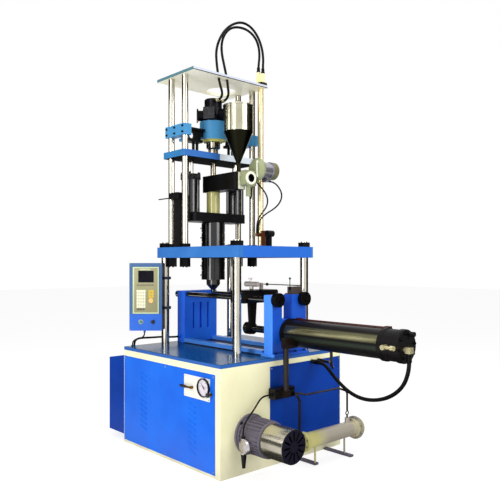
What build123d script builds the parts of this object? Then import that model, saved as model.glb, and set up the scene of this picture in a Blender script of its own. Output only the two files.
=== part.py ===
from build123d import *
from math import cos, radians, tan
import os

# Vertical injection moulding machine with a horizontal hydraulic clamp.
# Millimetres. +Z is up, +X runs along the clamp toward its cylinder, +Y away from the operator.
# The origin is the middle of the base footprint, on the floor.

os.makedirs("parts", exist_ok=True)

# Clearances
RUN_GAP = 0.3
BOLT_GAP = 0.3
SHELL = 3.0

# Base cabinet and machine slab
BASE_LENGTH = 1322.0
BASE_DEPTH = 1330.0
CABINET_HEIGHT = 800.0
CABINET_WALL = 8.0
SLAB_THICKNESS = 28.0
SLAB_CHAMFER = 3.0
BASE_X = BASE_LENGTH / 2
BASE_Y = BASE_DEPTH / 2
BED = CABINET_HEIGHT + SLAB_THICKNESS

# Cover panels, with the ways in the cabinet behind them
PANEL_LAP = 18.0
FRONT_PANEL_X = (-652.0, 603.0)
FRONT_PANEL_Z = (24.0, 750.0)
END_PANEL_Y = (-174.0, 653.0)
END_PANEL_Z = (120.0, 760.0)
FRONT_FACE = -BASE_Y - SHELL
END_FACE = BASE_X + SHELL

# Pressed louvres of the front panel
LOUVRE_WIDTH = 92.0
LOUVRE_HEIGHT = 15.0
LOUVRE_DEPTH = 7.0
LOUVRE_METAL = 1.5
LOUVRE_TILT = 17.5
LOUVRE_PITCH = 44.0
LOUVRE_ROWS = ((-342.0, 190.0), (331.0, 145.0))
LOUVRE_COUNTS = (11, 9)

# Side cabinet
SIDE_WIDTH = 272.0
SIDE_FRONT = -655.0
SIDE_DEPTH = 400.0
SIDE_BOTTOM = 60.0
SIDE_TOP_OUTER = 705.0
SIDE_TOP_INNER = 750.0
SIDE_BOSS_DEPTH = 45.0

# Gauge plate, gauge and needle valve on the front panel
GAUGE_PLATE_X = (232.0, 548.0)
GAUGE_PLATE_Z = (546.0, 712.0)
GAUGE_X = 482.0
GAUGE_Z = 642.0
GAUGE_DIAMETER = 138.0
GAUGE_DEPTH = 16.0
GAUGE_RIM = 7.0
DIAL_DEPTH = 9.0
GAUGE_PIN = 4.0
NEEDLE_LENGTH = 46.0
NEEDLE_THICKNESS = 1.5
HANDLE_X = 563.0
HANDLE_Z = 603.0
HANDLE_DIAMETER = 34.0
HANDLE_STEM = 8.0
VALVE_Z = 624.0
VALVE_X = (210.0, 350.0)
VALVE_BODY = 22.0

# Injection axis and the two sets of columns
AXIS_X = -318.0
AXIS_Y = 54.0
LOWER_COLUMN = 70.0
LOWER_THREAD = 56.0
LOWER_X = (-524.0, 451.0)
LOWER_HALF_Y = 381.0
UPPER_COLUMN = 55.0
UPPER_THREAD = 42.0
UPPER_HALF_X = 100.0
UPPER_HALF_Y = 388.0
LOWER_Y = (AXIS_Y - LOWER_HALF_Y, AXIS_Y + LOWER_HALF_Y)
UPPER_X = (AXIS_X - UPPER_HALF_X, AXIS_X + UPPER_HALF_X)
UPPER_Y = (AXIS_Y - UPPER_HALF_Y, AXIS_Y + UPPER_HALF_Y)

# Injection platen
PLATEN_BOTTOM = 1600.0
PLATEN_THICKNESS = 92.0
PLATEN_MARGIN_X = 64.0
PLATEN_MARGIN_Y = 46.0
PLATEN_HOLE = 236.0
PLATEN_TOP = PLATEN_BOTTOM + PLATEN_THICKNESS

# Nuts of the columns
BIG_NUT_FLATS = 90.0
BIG_NUT_HEIGHT = 38.0
SMALL_NUT_FLATS = 80.0
SMALL_NUT_HEIGHT = 30.0
LOCK_NUT_HEIGHT = 78.0
CAP_SCREW = 24.0
CAP_SCREW_HEAD = 36.0
CAP_SCREW_HEIGHT = 12.0
CAP_SCREW_LENGTH = 60.0

# Top plate
TOP_PLATE_BOTTOM = 3168.0
TOP_PLATE_THICKNESS = 25.0
TOP_PLATE_HALF_X = 270.0
TOP_PLATE_HALF_Y = 426.0
TOP_OPENING = 280.0
TOP_OPENING_X = -430.0
TOP_OPENING_Y = 235.0
HOSE_HOLE = 45.0
HOSE_HOLES = ((-113.0, -53.0), (-110.0, 39.0))
TOP_PLATE_TOP = TOP_PLATE_BOTTOM + TOP_PLATE_THICKNESS

# Riser duct, its valve and the hose block over it
DUCT_X = -100.0
DUCT_Y = 440.0
DUCT_DIAMETER = 54.0
HOSE_BLOCK_HEIGHT = 97.0
HOSE_BLOCK_FOOT = 22.0
OUTER_PORT = (-75.0, 446.0, 12.0)
INNER_PORT = (-120.0, 432.0, 30.0)
PORT_DIAMETER = 30.0
VALVE_BLOCK_Z = (1692.0, 1850.0)
CLIP_HEIGHT = 30.0
COIL_DIAMETER = 58.0
COIL_Z = 1822.0

# Switch rail between the front columns
RAIL_WIDTH = 98.0
RAIL_THICKNESS = 16.0
RAIL_BLOCK_Z = (2110.0, 2163.0)
POINTER_DIAMETER = 10.0
POINTER_LENGTH = 172.0

# Injection unit
SCREW_DIAMETER = 60.0
SCREW_SHAFT = 50.0
BARREL_DIAMETER = 121.0
BARREL_BOTTOM = 1404.0
SCREW_TIP_RISE = 130.0
SCREW_TIP = BARREL_BOTTOM + SCREW_TIP_RISE
BARREL_TOP = 2195.0
HEATER_DIAMETER = 215.0
HEATER_TOP = 1918.0
HEATER_BANDS = 6
HEATER_GROOVE = 6.0
NOZZLE_DIAMETER = 125.0
NOZZLE_TIP = 40.0
NOZZLE_LENGTH = 114.0
NOZZLE_END = BARREL_BOTTOM - NOZZLE_LENGTH
NOZZLE_BORE = 8.0
FEED_BLOCK_X = (-400.0, 58.0)
FEED_BLOCK_HALF_Y = 64.0
FEED_BLOCK_HEIGHT = 145.0
FEED_WAY = 24.0
FEED_PLATE_HALF_X = 107.0
FEED_PLATE_HALF_Y = 300.0
FEED_PLATE_Z = (1920.0, 2000.0)
FEED_BLOCK_TOP = BARREL_TOP + FEED_BLOCK_HEIGHT

# Injection cylinders
CYLINDER_OFFSET_X = 40.0
CYLINDER_OFFSET_Y = 225.0
CYLINDER_DIAMETER = 128.0
CYLINDER_BORE = 100.0
CYLINDER_HEIGHT = 345.0
CYLINDER_CAP = 24.0
CYLINDER_HEAD = 52.0
CYLINDER_HEAD_SIZE = 136.0
CYLINDER_ROD = 50.0
ROD_END = 2150.0

# Hopper
HOPPER_X = 30.0
HOPPER_DIAMETER = 257.0
HOPPER_RIM = 2920.0
HOPPER_CYLINDER_BOTTOM = 2692.0
HOPPER_CONE_BOTTOM = 2448.0
HOPPER_OUTLET = 58.0
HOPPER_NECK = 32.0
HOPPER_SHEET = 2.0
HOPPER_FLANGE = 52.0

# Feed gear unit beside the feed block
GEAR_BOX_LENGTH = 55.0
GEAR_BOX_SIZE = 134.0
GEAR_BOX_Y = 114.0
GEAR_BOX_Z = 2288.0
GEAR_SPIGOT = 8.0
GEAR_HOUSING = 200.0
GEAR_HOUSING_END = 241.0
GEAR_AXIS_Z = 2376.0
GEAR_MOTOR = 142.0
GEAR_MOTOR_END = 356.0
GEAR_CAP_END = 434.0
GEAR_TERMINAL = 60.0
GEAR_TERMINAL_DROP = 102.0
GEAR_STUB = 42.0
GEAR_STUB_BOTTOM = 2134.0

# Thrust plate and motor carriage
THRUST_X = (-488.0, -180.0)
THRUST_MARGIN_Y = 38.0
THRUST_BOTTOM = 2470.0
THRUST_THICKNESS = 56.0
CLAMP_BLOCK_X = (-459.0, -177.0)
CLAMP_BLOCK_HALF_Y = 38.0
CLAMP_BLOCK_Z = (2650.0, 2745.0)
ARM_WEB = 24.0
ARM_FLANGE = 84.0
ARM_Z = (2620.0, 2745.0)
ARM_HOLE = 58.0
DRUM_DIAMETER = 245.0
DRUM_Z = (2664.0, 2828.0)
DRUM_BORE = 60.0
BEARING_FLANGE = 173.0
BEARING_THICKNESS = 15.0
SPACER_DIAMETER = 26.0
SPACER_X = 54.0
SPACER_Y = 205.0
COUPLING_DIAMETER = 127.0
COUPLING_NECK = 90.0
MOTOR_SHAFT = 40.0
THRUST_TOP = THRUST_BOTTOM + THRUST_THICKNESS
BEARING_BOTTOM = DRUM_Z[0] - BEARING_THICKNESS

# Radial piston motor
STAR_CYLINDERS = 5
STAR_HEIGHT = 121.0
STAR_BODY = 190.0
STAR_CYLINDER = 96.0
STAR_REACH = 150.0
STAR_CAP = 104.0
PORT_BLOCK_DIAMETER = 160.0
PORT_BLOCK_HEIGHT = 88.0
PORT_BLOCK_REACH = 103.0
PORT_Z = 3010.0
PORT_Y = (15.0, 78.0)
STAR_TOP = DRUM_Z[1] + STAR_HEIGHT

# Mould clamp on the slab
CLAMP_Z = 1003.0
FIXED_X = (-610.0, -500.0)
FIXED_HALF_Y = 190.0
FIXED_TOP = 1300.0
SLOT_OFFSETS = ((-84.0, 20.0, 40.0), (0.0, 30.0, 110.0), (84.0, 20.0, 40.0))
SLOT_Z = (953.0, 1191.0)
MOVING_X = (555.0, 648.0)
MOVING_HALF_Y = 194.0
MOVING_TOP = 1305.0
NOTCH_Y = (-30.0, 80.0)
NOTCH_BOTTOM = 1115.0
FOOT_X = (535.0, 668.0)
FOOT_HALF_Y = 204.0
FOOT_HEIGHT = 22.0
RAIL_BED_HEIGHT = 40.0
RAIL_BED_WIDTH = 60.0
TRAY_HEIGHT = 8.0
TIE_BAR = 44.0
TIE_HALF_Y = 150.0
TIE_Z = 1268.0
TIE_HEAD = 60.0
TIE_HEAD_LENGTH = 50.0
TIE_END = 700.0
TIE_NUT = 112.0
TIE_NUT_LENGTH = 45.0
PLUG_DIAMETER = 30.0
PLUG_LENGTH = 22.0
PLUG_X = -570.0
PLUG_Z = 880.0

# Crosshead, clamp rod and what they carry
CROSS_X = (150.0, 330.0)
CROSS_HALF_Y = 188.0
CROSS_Z = (1225.0, 1330.0)
CROSS_CHAMFER = 12.0
ARM_X = (192.0, 222.0)
ARM_EYE = 100.0
CLAMP_ROD = 60.0
CLAMP_DISC = 106.0
CLAMP_DISC_X = (143.0, 190.0)
CLAMP_BOLT_CIRCLE = 80.0
CLAMP_BOLT_HOLE = 10.5
CLAMP_BOLTS = 4
CLAMP_PISTON_X = (1060.0, 1110.0)
RELIEF_X = (126.0, 281.0)
RELIEF_DIAMETER = 43.0
RELIEF_FOOT = 25.0
RELIEF_KNOB = 30.0
TRIP_Y = 120.0
TRIP_Z = 1377.0
TRIP_DIAMETER = 8.0
TRIP_X = (243.0, 715.0)
TRIP_BALL = 26.0
TRIP_BALL_X = 322.0

# Clamp cylinder
CYL_FLANGE = 230.0
CYL_FLANGE_THICKNESS = 32.0
CYL_BARREL = 206.0
CYL_BORE = 180.0
CYL_BARREL_END = 1560.0
CYL_CAP_END = 1726.0
CYL_CAP_GROOVE = 6.0
PISTON_GAP = 0.5

# Fittings of the clamp cylinder
ELBOW_SIZE = 40.0
ELBOW_STUB = 20.0
HOSE_START = (1766.0, 24.0, 985.0)
BRASS_X = (1640.0, 1722.0)
BRASS_DIAMETER = 22.0
BRASS_NUT = 34.0
BRASS_REACH = 30.0

# Switch box and its hand lever on the cylinder platen
SWITCH_X = (585.0, 640.0)
SWITCH_Y = (91.0, 210.0)
SWITCH_Z = (1313.0, 1366.0)
LEVER_X = 622.0
LEVER_Z = 1350.0
LEVER_HUB = 18.0
LEVER_ROD = 7.0
LEVER_LENGTH = 82.0
LEVER_BALL = 18.0

# Electric motor on the end wall
MOTOR_Y = -384.0
MOTOR_Z = 290.0
MOTOR_FLANGE = 300.0
MOTOR_FLANGE_THICKNESS = 18.0
MOTOR_CORE = 246.0
MOTOR_FIN_DIAMETER = 272.0
MOTOR_FINS = 28
MOTOR_FIN_THICKNESS = 4.0
MOTOR_LENGTH = 239.0
MOTOR_BODY_END = BASE_X + MOTOR_LENGTH
MOTOR_SHIELD = 14.0
COWL_DIAMETER = 244.0
COWL_LENGTH = 218.0
COWL_END = MOTOR_BODY_END + COWL_LENGTH
COWL_SLOTS = 12
COWL_SLOT_WIDTH = 14.0
COWL_SLOT_INNER = 40.0
COWL_SLOT_OUTER = 104.0
FAN_SHAFT = 28.0
FAN_BLADES = 6
FAN_DIAMETER = 216.0
FAN_BACK = 72.0
FAN_FRONT = 24.0
FAN_X = (COWL_END - FAN_BACK, COWL_END - FAN_FRONT)
FAN_HUB = 60.0
TERMINAL_OFFSET = 109.0
TERMINAL_X = BASE_X + TERMINAL_OFFSET
TERMINAL_Z = 243.0
TERMINAL_DIAMETER = 113.0
TERMINAL_FRONT = -548.0
TERMINAL_BACK = -500.0
TERMINAL_DOME = 14.0
GLAND_TOP = 44.0
GLAND_TIP = 24.0
GLAND_BOTTOM = 90.0

# Oil cooler on its floor bars
COOLER_OFFSET = 205.0
COOLER_X = BASE_X + COOLER_OFFSET
COOLER_Z = 200.0
COOLER_DIAMETER = 120.0
COOLER_Y = (-40.0, 585.0)
COOLER_BONNET = 150.0
COOLER_FLANGE = 186.0
COOLER_FLANGE_THICKNESS = 18.0
COOLER_BONNET_LENGTH = 34.0
STAND_Y = (112.0, 466.0)
STAND_REACH = ((-144.0, 18.0), (-205.0, 78.0))
STAND_BAR_WIDTH = 40.0
STAND_BAR_HEIGHT = 16.0
STAND_LEG = 16.0
EYE_Y = 502.0
EYE_RING = 16.0
EYE_WIRE = 9.0
EYE_Z = 334.0

# Valve manifold on the end panel
MANIFOLD_DEPTH = 71.0
MANIFOLD_X = END_FACE + MANIFOLD_DEPTH
MANIFOLD_Y = (-190.0, 20.0)
MANIFOLD_Z = (520.0, 600.0)
RISER_Y = -100.0
RISER_DIAMETER = 44.0
RISER_BLOCK = 50.0
RISER_X = MANIFOLD_X + RISER_BLOCK / 2
RISER_TOP = 904.0
RISER_PORT_TOP = 985.0
BULKHEAD_Z = 752.0
BULKHEAD_Y = (298.0, 378.0)
BULKHEAD_LENGTH = 36.0
BULKHEAD_DIAMETER = 34.0
DROP_REACH = 414.0
DROP_RISE = 48.0
DROP_KNEE_REACH = 346.0
DROP_KNEE_Y = 150.0
DROP_KNEE_RISE = 8.0
DROP_RUN = 126.0
DROP_X = END_FACE + DROP_REACH
TOP_PIPE_OFFSET_Y = 58.0
TOP_PIPE_OFFSET_Z = 101.0
FEED_INSET = 30.0
RETURN_REACH = 40.0
RETURN_OFFSET = 83.0

# Control box on two strap clamps round the front left column
BOX_TURN = 47.875
BOX_WIDTH = 285.0
BOX_DEPTH = 90.0
BOX_Z = (965.0, 1554.0)
BOX_SIDE = -153.0
BOX_BACK = 45.0
BOX_SHEET = 2.0
BOX_DOOR = 4.0
STRAP_Z = (1157.0, 1421.0)
STRAP_DIAMETER = 100.0
STRAP_HEIGHT = 24.0
BEZEL_SIDE = (-265.5, -38.5)
BEZEL_Z = (1113.0, 1520.0)
BEZEL_HEIGHT = 3.0
SCREEN_SIDE = (-217.5, -82.5)
SCREEN_Z = (1385.0, 1487.0)
SCREEN_DEPTH = 1.5
BUTTON_SIDE = -195.0
KNOB_SIDE = -90.0
CONTROL_Z = 1042.0
CONTROL_HOLE = 22.0
BUTTON_DIAMETER = 26.0
BUTTON_TRAVEL = 5.0
KNOB_DIAMETER = 34.0
KNOB_HEIGHT = 20.0
BOX_GLAND_SIDE = -170.0
BOX_GLAND = 20.0
BOX_GLAND_LENGTH = 18.0
BOX_FRONT = BOX_BACK + BOX_DEPTH

# Cords: the points are chosen along the routes that they lie in
ARC_SHARE = 0.45
MOTOR_HOSE = 22.0
CYLINDER_HOSE = 28.0
GEAR_CABLE = 13.0
CONTROL_CABLE = 12.0
CLAMP_CABLE = 18.0
MOTOR_CABLE = 13.0

MOTOR_HOSE_OUTER_POINTS = [
    (-215, 15, 3010), (-175, 15, 3010), (-138, 7, 3028), (-114, -8, 3058), (-110, -34, 3108),
    (-110, -56, 3186), (-108, -76, 3290), (-105, -86, 3390), (-99, -62, 3490), (-94, 2, 3596),
    (-92, 95, 3676), (-88, 205, 3720), (-83, 308, 3700), (-80, 388, 3632), (-77, 436, 3540),
    (-75, 452, 3440), (-75, 446, 3362), (-75, 446, 3302),
]
MOTOR_HOSE_INNER_POINTS = [
    (-215, 78, 3010), (-175, 78, 3010), (-138, 74, 3029), (-114, 66, 3060), (-109, 52, 3112),
    (-107, 38, 3188), (-108, 8, 3296), (-114, -16, 3400), (-120, -10, 3498), (-124, 34, 3590),
    (-125, 108, 3656), (-124, 204, 3684), (-122, 308, 3680), (-120, 394, 3634), (-120, 438, 3556),
    (-120, 446, 3466), (-120, 432, 3388), (-120, 432, 3320),
]
CYLINDER_HOSE_POINTS = [
    (1766, 24, 965), (1766, 24, 905), (1758, 25, 838), (1720, 34, 752), (1640, 55, 678),
    (1530, 84, 620), (1405, 115, 584), (1275, 148, 572), (1148, 181, 590), (1020, 214, 640),
    (905, 250, 702), (END_FACE + 156, 285, BULKHEAD_Z - 11), (END_FACE + 93, BULKHEAD_Y[0], BULKHEAD_Z),
    (END_FACE + BULKHEAD_LENGTH, BULKHEAD_Y[0], BULKHEAD_Z),
]
GEAR_CABLE_OUTER_POINTS = [
    (140, 330, 2276), (190, 326, 2262), (262, 302, 2226), (322, 276, 2182), (358, 258, 2140),
    (362, 250, 2100), (334, 254, 2066), (276, 278, 2042), (170, 326, 2020), (62, 368, 2003),
    (-24, 392, 1976), (-78, 400, 1936), (-92, 400, 1884), (-92, 400, 1828),
]
GEAR_CABLE_INNER_POINTS = [
    (118, 205, 2250), (152, 196, 2224), (198, 184, 2192), (240, 176, 2156), (262, 178, 2118),
    (252, 194, 2082), (208, 228, 2054), (134, 276, 2030), (54, 322, 2008), (-14, 352, 1980),
    (-66, 372, 1940), (-82, 374, 1886), (-82, 374, 1828),
]
GLAND_X = -571.2
GLAND_Y = -514.5
GROMMET_X = -BASE_X + 34.8
GROMMET_Y = -BASE_Y + 62.5
GROMMET_HEIGHT = 8.0
CONTROL_CABLE_WAY = (
    (0, 947), (0, 928), (0.0909, 910.3), (0.2545, 898), (0.4927, 890), (0.7489, 885.3),
    (0.9125, 873), (1, 855.2), (1, BED + GROMMET_HEIGHT),
)
CONTROL_CABLE_POINTS = [
    (GLAND_X + share * (GROMMET_X - GLAND_X), GLAND_Y + share * (GROMMET_Y - GLAND_Y), height)
    for share, height in CONTROL_CABLE_WAY
]
CLAMP_CABLE_POINTS = [
    (-700, -540, 766), (-700, -540, 802), (-693, -543, 838), (-672, -546, 870), (-638, -538, 888),
    (-606, -508, 894), (-588, -464, 894), (-584, -406, 892), (-592, -338, 890), (-592, -272, 884),
    (-570, -210, 880), (-570, -158, 880),
]
MOTOR_CABLE_WAY = (
    (91, -530, 312), (91, -530, 346), (85, -512, 390), (71, -468, 430), (59, -412, 462),
    (51, -364, 500), (46, -324, 538), (40, -280, 556), (37, -242, 556), (37, -206, 556),
)
MOTOR_CABLE_POINTS = [(BASE_X + reach, y, z) for reach, y, z in MOTOR_CABLE_WAY]


def block(xs, ys, zs):
    """Make a box from its (low, high) limits along X, Y and Z."""
    centre = [(low + high) / 2 for low, high in (xs, ys, zs)]
    size = [high - low for low, high in (xs, ys, zs)]
    return Pos(*centre) * Box(*size)


def about(centre, half):
    """Give the limits that lie half a width to each side of a centre."""
    return (centre - half, centre + half)


def rod_z(x, y, diameter, low, high):
    """Make an upright round bar."""
    return Pos(x, y, (low + high) / 2) * Cylinder(diameter / 2, high - low)


def rod_x(y, z, diameter, low, high):
    """Make a round bar along X."""
    return Pos((low + high) / 2, y, z) * Rot(0, 90, 0) * Cylinder(diameter / 2, high - low)


def rod_y(x, z, diameter, low, high):
    """Make a round bar along Y."""
    return Pos(x, (low + high) / 2, z) * Rot(-90, 0, 0) * Cylinder(diameter / 2, high - low)


def turned(profile):
    """Turn a closed outline of (radius, height) points about the Z axis."""
    return revolve(Plane.XZ * make_face(Polyline(*profile, close=True)), Axis.Z)


def hex_nut(x, y, flats, bore, low, high):
    """Make an upright hexagon nut with two flats square to Y."""
    outline = RegularPolygon(flats / 2, 6, major_radius=False)
    nut = Pos(x, y, low) * extrude(outline, high - low)
    return nut - rod_z(x, y, bore, low, high)


def tube_along(points, diameter, radii):
    """Sweep a round section along straight runs joined by tangent arcs."""
    path = FilletPolyline(*points, radius=radii)
    return sweep(Plane(origin=path @ 0, z_dir=path % 0) * Circle(diameter / 2), path=path), path


def cord(name, points, diameter):
    """Sweep a cord whose bends are as large as their two runs allow, and report its fit."""
    radii = []
    for before, corner, after in zip(points, points[1:], points[2:]):
        entering = Vector(*corner) - Vector(*before)
        leaving = Vector(*after) - Vector(*corner)
        turn = radians(entering.get_angle(leaving))
        radii.append(ARC_SHARE * min(entering.length, leaving.length) / tan(turn / 2))
    tube, path = tube_along(points, diameter, radii)
    section = Circle(diameter / 2).area
    print(name, "length", round(path.length), "least radius in diameters",
          round(min(radii) / diameter, 1), "radii", [round(radius) for radius in radii],
          "volume share", round(tube.volume / (section * path.length), 4))
    return tube


def box_place(side, front, height):
    """Place something on the control box, whose frame turns about the column."""
    turned_frame = Pos(LOWER_X[0], LOWER_Y[0], height) * Rot(0, 0, BOX_TURN)
    return turned_frame * Pos(side, -front, 0)


def base_frame():
    """Welded sheet cabinet, open under the slab and behind its two cover panels."""
    inner_x = about(0, BASE_X - CABINET_WALL)
    inner_y = about(0, BASE_Y - CABINET_WALL)
    shell = block(about(0, BASE_X), about(0, BASE_Y), (0, CABINET_HEIGHT))
    shell -= block(inner_x, inner_y, (CABINET_WALL, CABINET_HEIGHT))
    front_x = (FRONT_PANEL_X[0] + PANEL_LAP, FRONT_PANEL_X[1] - PANEL_LAP)
    front_z = (FRONT_PANEL_Z[0] + PANEL_LAP, FRONT_PANEL_Z[1] - PANEL_LAP)
    shell -= block(front_x, (-BASE_Y, -BASE_Y + CABINET_WALL), front_z)
    end_y = (END_PANEL_Y[0] + PANEL_LAP, END_PANEL_Y[1] - PANEL_LAP)
    end_z = (END_PANEL_Z[0] + PANEL_LAP, END_PANEL_Z[1] - PANEL_LAP)
    return shell - block((BASE_X - CABINET_WALL, BASE_X), end_y, end_z)


def louvre_hood():
    """Outer form of one louvre at its middle, standing out of the panel toward -Y."""
    profile = Polyline((0, 0), (-LOUVRE_DEPTH, -LOUVRE_HEIGHT), (0, -LOUVRE_HEIGHT), close=True)
    hood = extrude(Plane.YZ * make_face(profile), LOUVRE_WIDTH / 2, both=True)
    return Pos(0, 0, LOUVRE_HEIGHT / 2) * hood


def louvre_mouth():
    """Air way under one louvre, through the panel."""
    slope = LOUVRE_HEIGHT / LOUVRE_DEPTH
    below = 0.6
    top = -2 * LOUVRE_METAL
    inner_y = (top / slope) + LOUVRE_METAL
    lip_y = inner_y + (-LOUVRE_HEIGHT - below - top) / slope
    back = SHELL + 1
    corners = [(back, top), (inner_y, top), (lip_y, -LOUVRE_HEIGHT - below)]
    corners.append((back, -LOUVRE_HEIGHT - below))
    face = Plane.YZ * make_face(Polyline(*corners, close=True))
    mouth = extrude(face, LOUVRE_WIDTH / 2 - LOUVRE_METAL, both=True)
    return Pos(0, 0, LOUVRE_HEIGHT / 2) * mouth


def front_panel():
    """Blue front cover with two rows of slanted louvres."""
    panel = block(FRONT_PANEL_X, (FRONT_FACE, -BASE_Y), FRONT_PANEL_Z)
    hoods = []
    mouths = []
    for (x, lowest), count in zip(LOUVRE_ROWS, LOUVRE_COUNTS):
        for index in range(count):
            place = Pos(x, FRONT_FACE, lowest + index * LOUVRE_PITCH) * Rot(0, LOUVRE_TILT, 0)
            hoods.append(place * louvre_hood())
            mouths.append(place * louvre_mouth())
    return panel + hoods - mouths


def end_panel():
    """Blue end cover on the wall that carries the manifold."""
    return block((BASE_X, END_FACE), END_PANEL_Y, END_PANEL_Z)


def base_slab():
    """Machine slab that closes the cabinet and carries the clamp and the columns."""
    slab = block(about(0, BASE_X), about(0, BASE_Y), (CABINET_HEIGHT, BED))
    slab = chamfer(slab.faces().sort_by(Axis.Z)[-1].edges(), SLAB_CHAMFER)
    grommet_x, grommet_y, grommet_top = CONTROL_CABLE_POINTS[-1]
    return slab + rod_z(grommet_x, grommet_y, 2 * CONTROL_CABLE, BED, grommet_top)


def side_cabinet():
    """Electrical cabinet with a sloped top, on the left of the base."""
    outer_x = -BASE_X - SIDE_WIDTH
    y_limits = (SIDE_FRONT, SIDE_FRONT + SIDE_DEPTH)

    def wedge(inset):
        """Sloped box, inset from the outer faces all round."""
        outline = Polyline(
            (outer_x + inset, SIDE_BOTTOM + inset),
            (-BASE_X - inset, SIDE_BOTTOM + inset),
            (-BASE_X - inset, SIDE_TOP_INNER - inset),
            (outer_x + inset, SIDE_TOP_OUTER - inset),
            close=True,
        )
        face = Plane.XZ.offset(-y_limits[0] - inset) * make_face(outline)
        return extrude(face, -(SIDE_DEPTH - 2 * inset))

    x, y, top = CLAMP_CABLE_POINTS[0]
    boss = rod_z(x, y, 2 * CLAMP_CABLE, SIDE_TOP_INNER - SIDE_BOSS_DEPTH, top) - wedge(SHELL)
    return wedge(0) - wedge(SHELL) + boss


def gauge_plate():
    """White plate behind the gauge and the needle valve."""
    plate = block(GAUGE_PLATE_X, (FRONT_FACE - SHELL, FRONT_FACE), GAUGE_PLATE_Z)
    return fillet(plate.edges().filter_by(Axis.Y), 6)


def gauge_face():
    """Y of the front of the gauge plate."""
    return FRONT_FACE - SHELL


def pressure_gauge():
    """Gauge case with a sunk dial and the pin of its needle."""
    front = gauge_face() - GAUGE_DEPTH
    case = rod_y(GAUGE_X, GAUGE_Z, GAUGE_DIAMETER, front, gauge_face())
    case = chamfer(case.edges().sort_by(Axis.Y)[0], 2)
    recess = rod_y(GAUGE_X, GAUGE_Z, GAUGE_DIAMETER - 2 * GAUGE_RIM, front, front + DIAL_DEPTH)
    pin = rod_y(GAUGE_X, GAUGE_Z, GAUGE_PIN, front + DIAL_DEPTH / 2, front + DIAL_DEPTH)
    return case - recess + pin


def gauge_needle():
    """Pointer of the gauge, turning on the pin over the dial."""
    back = gauge_face() - GAUGE_DEPTH + DIAL_DEPTH - RUN_GAP
    front = back - NEEDLE_THICKNESS
    hub = rod_y(GAUGE_X, GAUGE_Z, 3 * GAUGE_PIN, front, back)
    blade = Polyline((-NEEDLE_LENGTH / 3, 3), (NEEDLE_LENGTH, 0.8), (NEEDLE_LENGTH, -0.8),
                     (-NEEDLE_LENGTH / 3, -3), close=True)
    face = Plane.XZ.offset(-back) * make_face(blade)
    pointer = Pos(GAUGE_X, 0, GAUGE_Z) * Rot(0, -135, 0) * extrude(face, NEEDLE_THICKNESS)
    return hub + pointer - rod_y(GAUGE_X, GAUGE_Z, GAUGE_PIN + 2 * RUN_GAP, front, back)


def gauge_valve():
    """Brass needle valve: its body along X, an elbow into the plate and the bonnet of the knob."""
    centre_y = gauge_face() - VALVE_BODY
    body = rod_x(centre_y, VALVE_Z, VALVE_BODY * 0.7, *VALVE_X)
    hexagon = Rot(0, 90, 0) * extrude(RegularPolygon(VALVE_BODY / 2, 6), VALVE_BODY, both=True)
    body += Pos(VALVE_X[0] + 2 * VALVE_BODY, centre_y, VALVE_Z) * hexagon
    body += rod_y(VALVE_X[1] - VALVE_BODY / 2, VALVE_Z, VALVE_BODY, centre_y, gauge_face())
    bonnet = rod_y(HANDLE_X, HANDLE_Z, 3 * HANDLE_STEM, FRONT_FACE - HANDLE_STEM, FRONT_FACE)
    stem_way = HANDLE_STEM + 2 * RUN_GAP
    bonnet -= rod_y(HANDLE_X, HANDLE_Z, stem_way, FRONT_FACE - HANDLE_STEM, FRONT_FACE)
    return Compound([body, bonnet])


def gauge_handle():
    """Black hand knob of the shut-off valve on its stem."""
    front = gauge_face() - 2.5 * GAUGE_DEPTH
    back = gauge_face() - 1.5 * GAUGE_DEPTH
    knob = rod_y(HANDLE_X, HANDLE_Z, HANDLE_DIAMETER, front, back)
    flutes = [
        Pos(HANDLE_X, 0, HANDLE_Z) * Rot(0, angle, 0)
        * rod_y(HANDLE_DIAMETER / 2, 0, HANDLE_DIAMETER / 5, front, back)
        for angle in range(0, 360, 60)
    ]
    stem = rod_y(HANDLE_X, HANDLE_Z, HANDLE_STEM, back, FRONT_FACE - RUN_GAP)
    return knob - flutes + stem


def lower_columns():
    """Four columns with a shoulder under the platen and a threaded end through it."""
    columns = []
    for x in LOWER_X:
        for y in LOWER_Y:
            column = rod_z(x, y, LOWER_COLUMN, BED, PLATEN_BOTTOM)
            thread_end = PLATEN_TOP + BIG_NUT_HEIGHT + 8
            columns.append(column + rod_z(x, y, LOWER_THREAD, PLATEN_BOTTOM, thread_end))
    return Compound(columns)


def upper_columns():
    """Four guide columns between the platen and the top plate."""
    columns = []
    for x in UPPER_X:
        for y in UPPER_Y:
            column = rod_z(x, y, UPPER_COLUMN, PLATEN_TOP, TOP_PLATE_BOTTOM)
            thread_end = PLATEN_BOTTOM - LOCK_NUT_HEIGHT - 6
            column += rod_z(x, y, UPPER_THREAD, thread_end, PLATEN_TOP)
            depth = CAP_SCREW_LENGTH - TOP_PLATE_THICKNESS
            hole = CAP_SCREW + 2 * BOLT_GAP
            columns.append(column - rod_z(x, y, hole, TOP_PLATE_BOTTOM - depth - 1, TOP_PLATE_BOTTOM))
    return Compound(columns)


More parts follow.
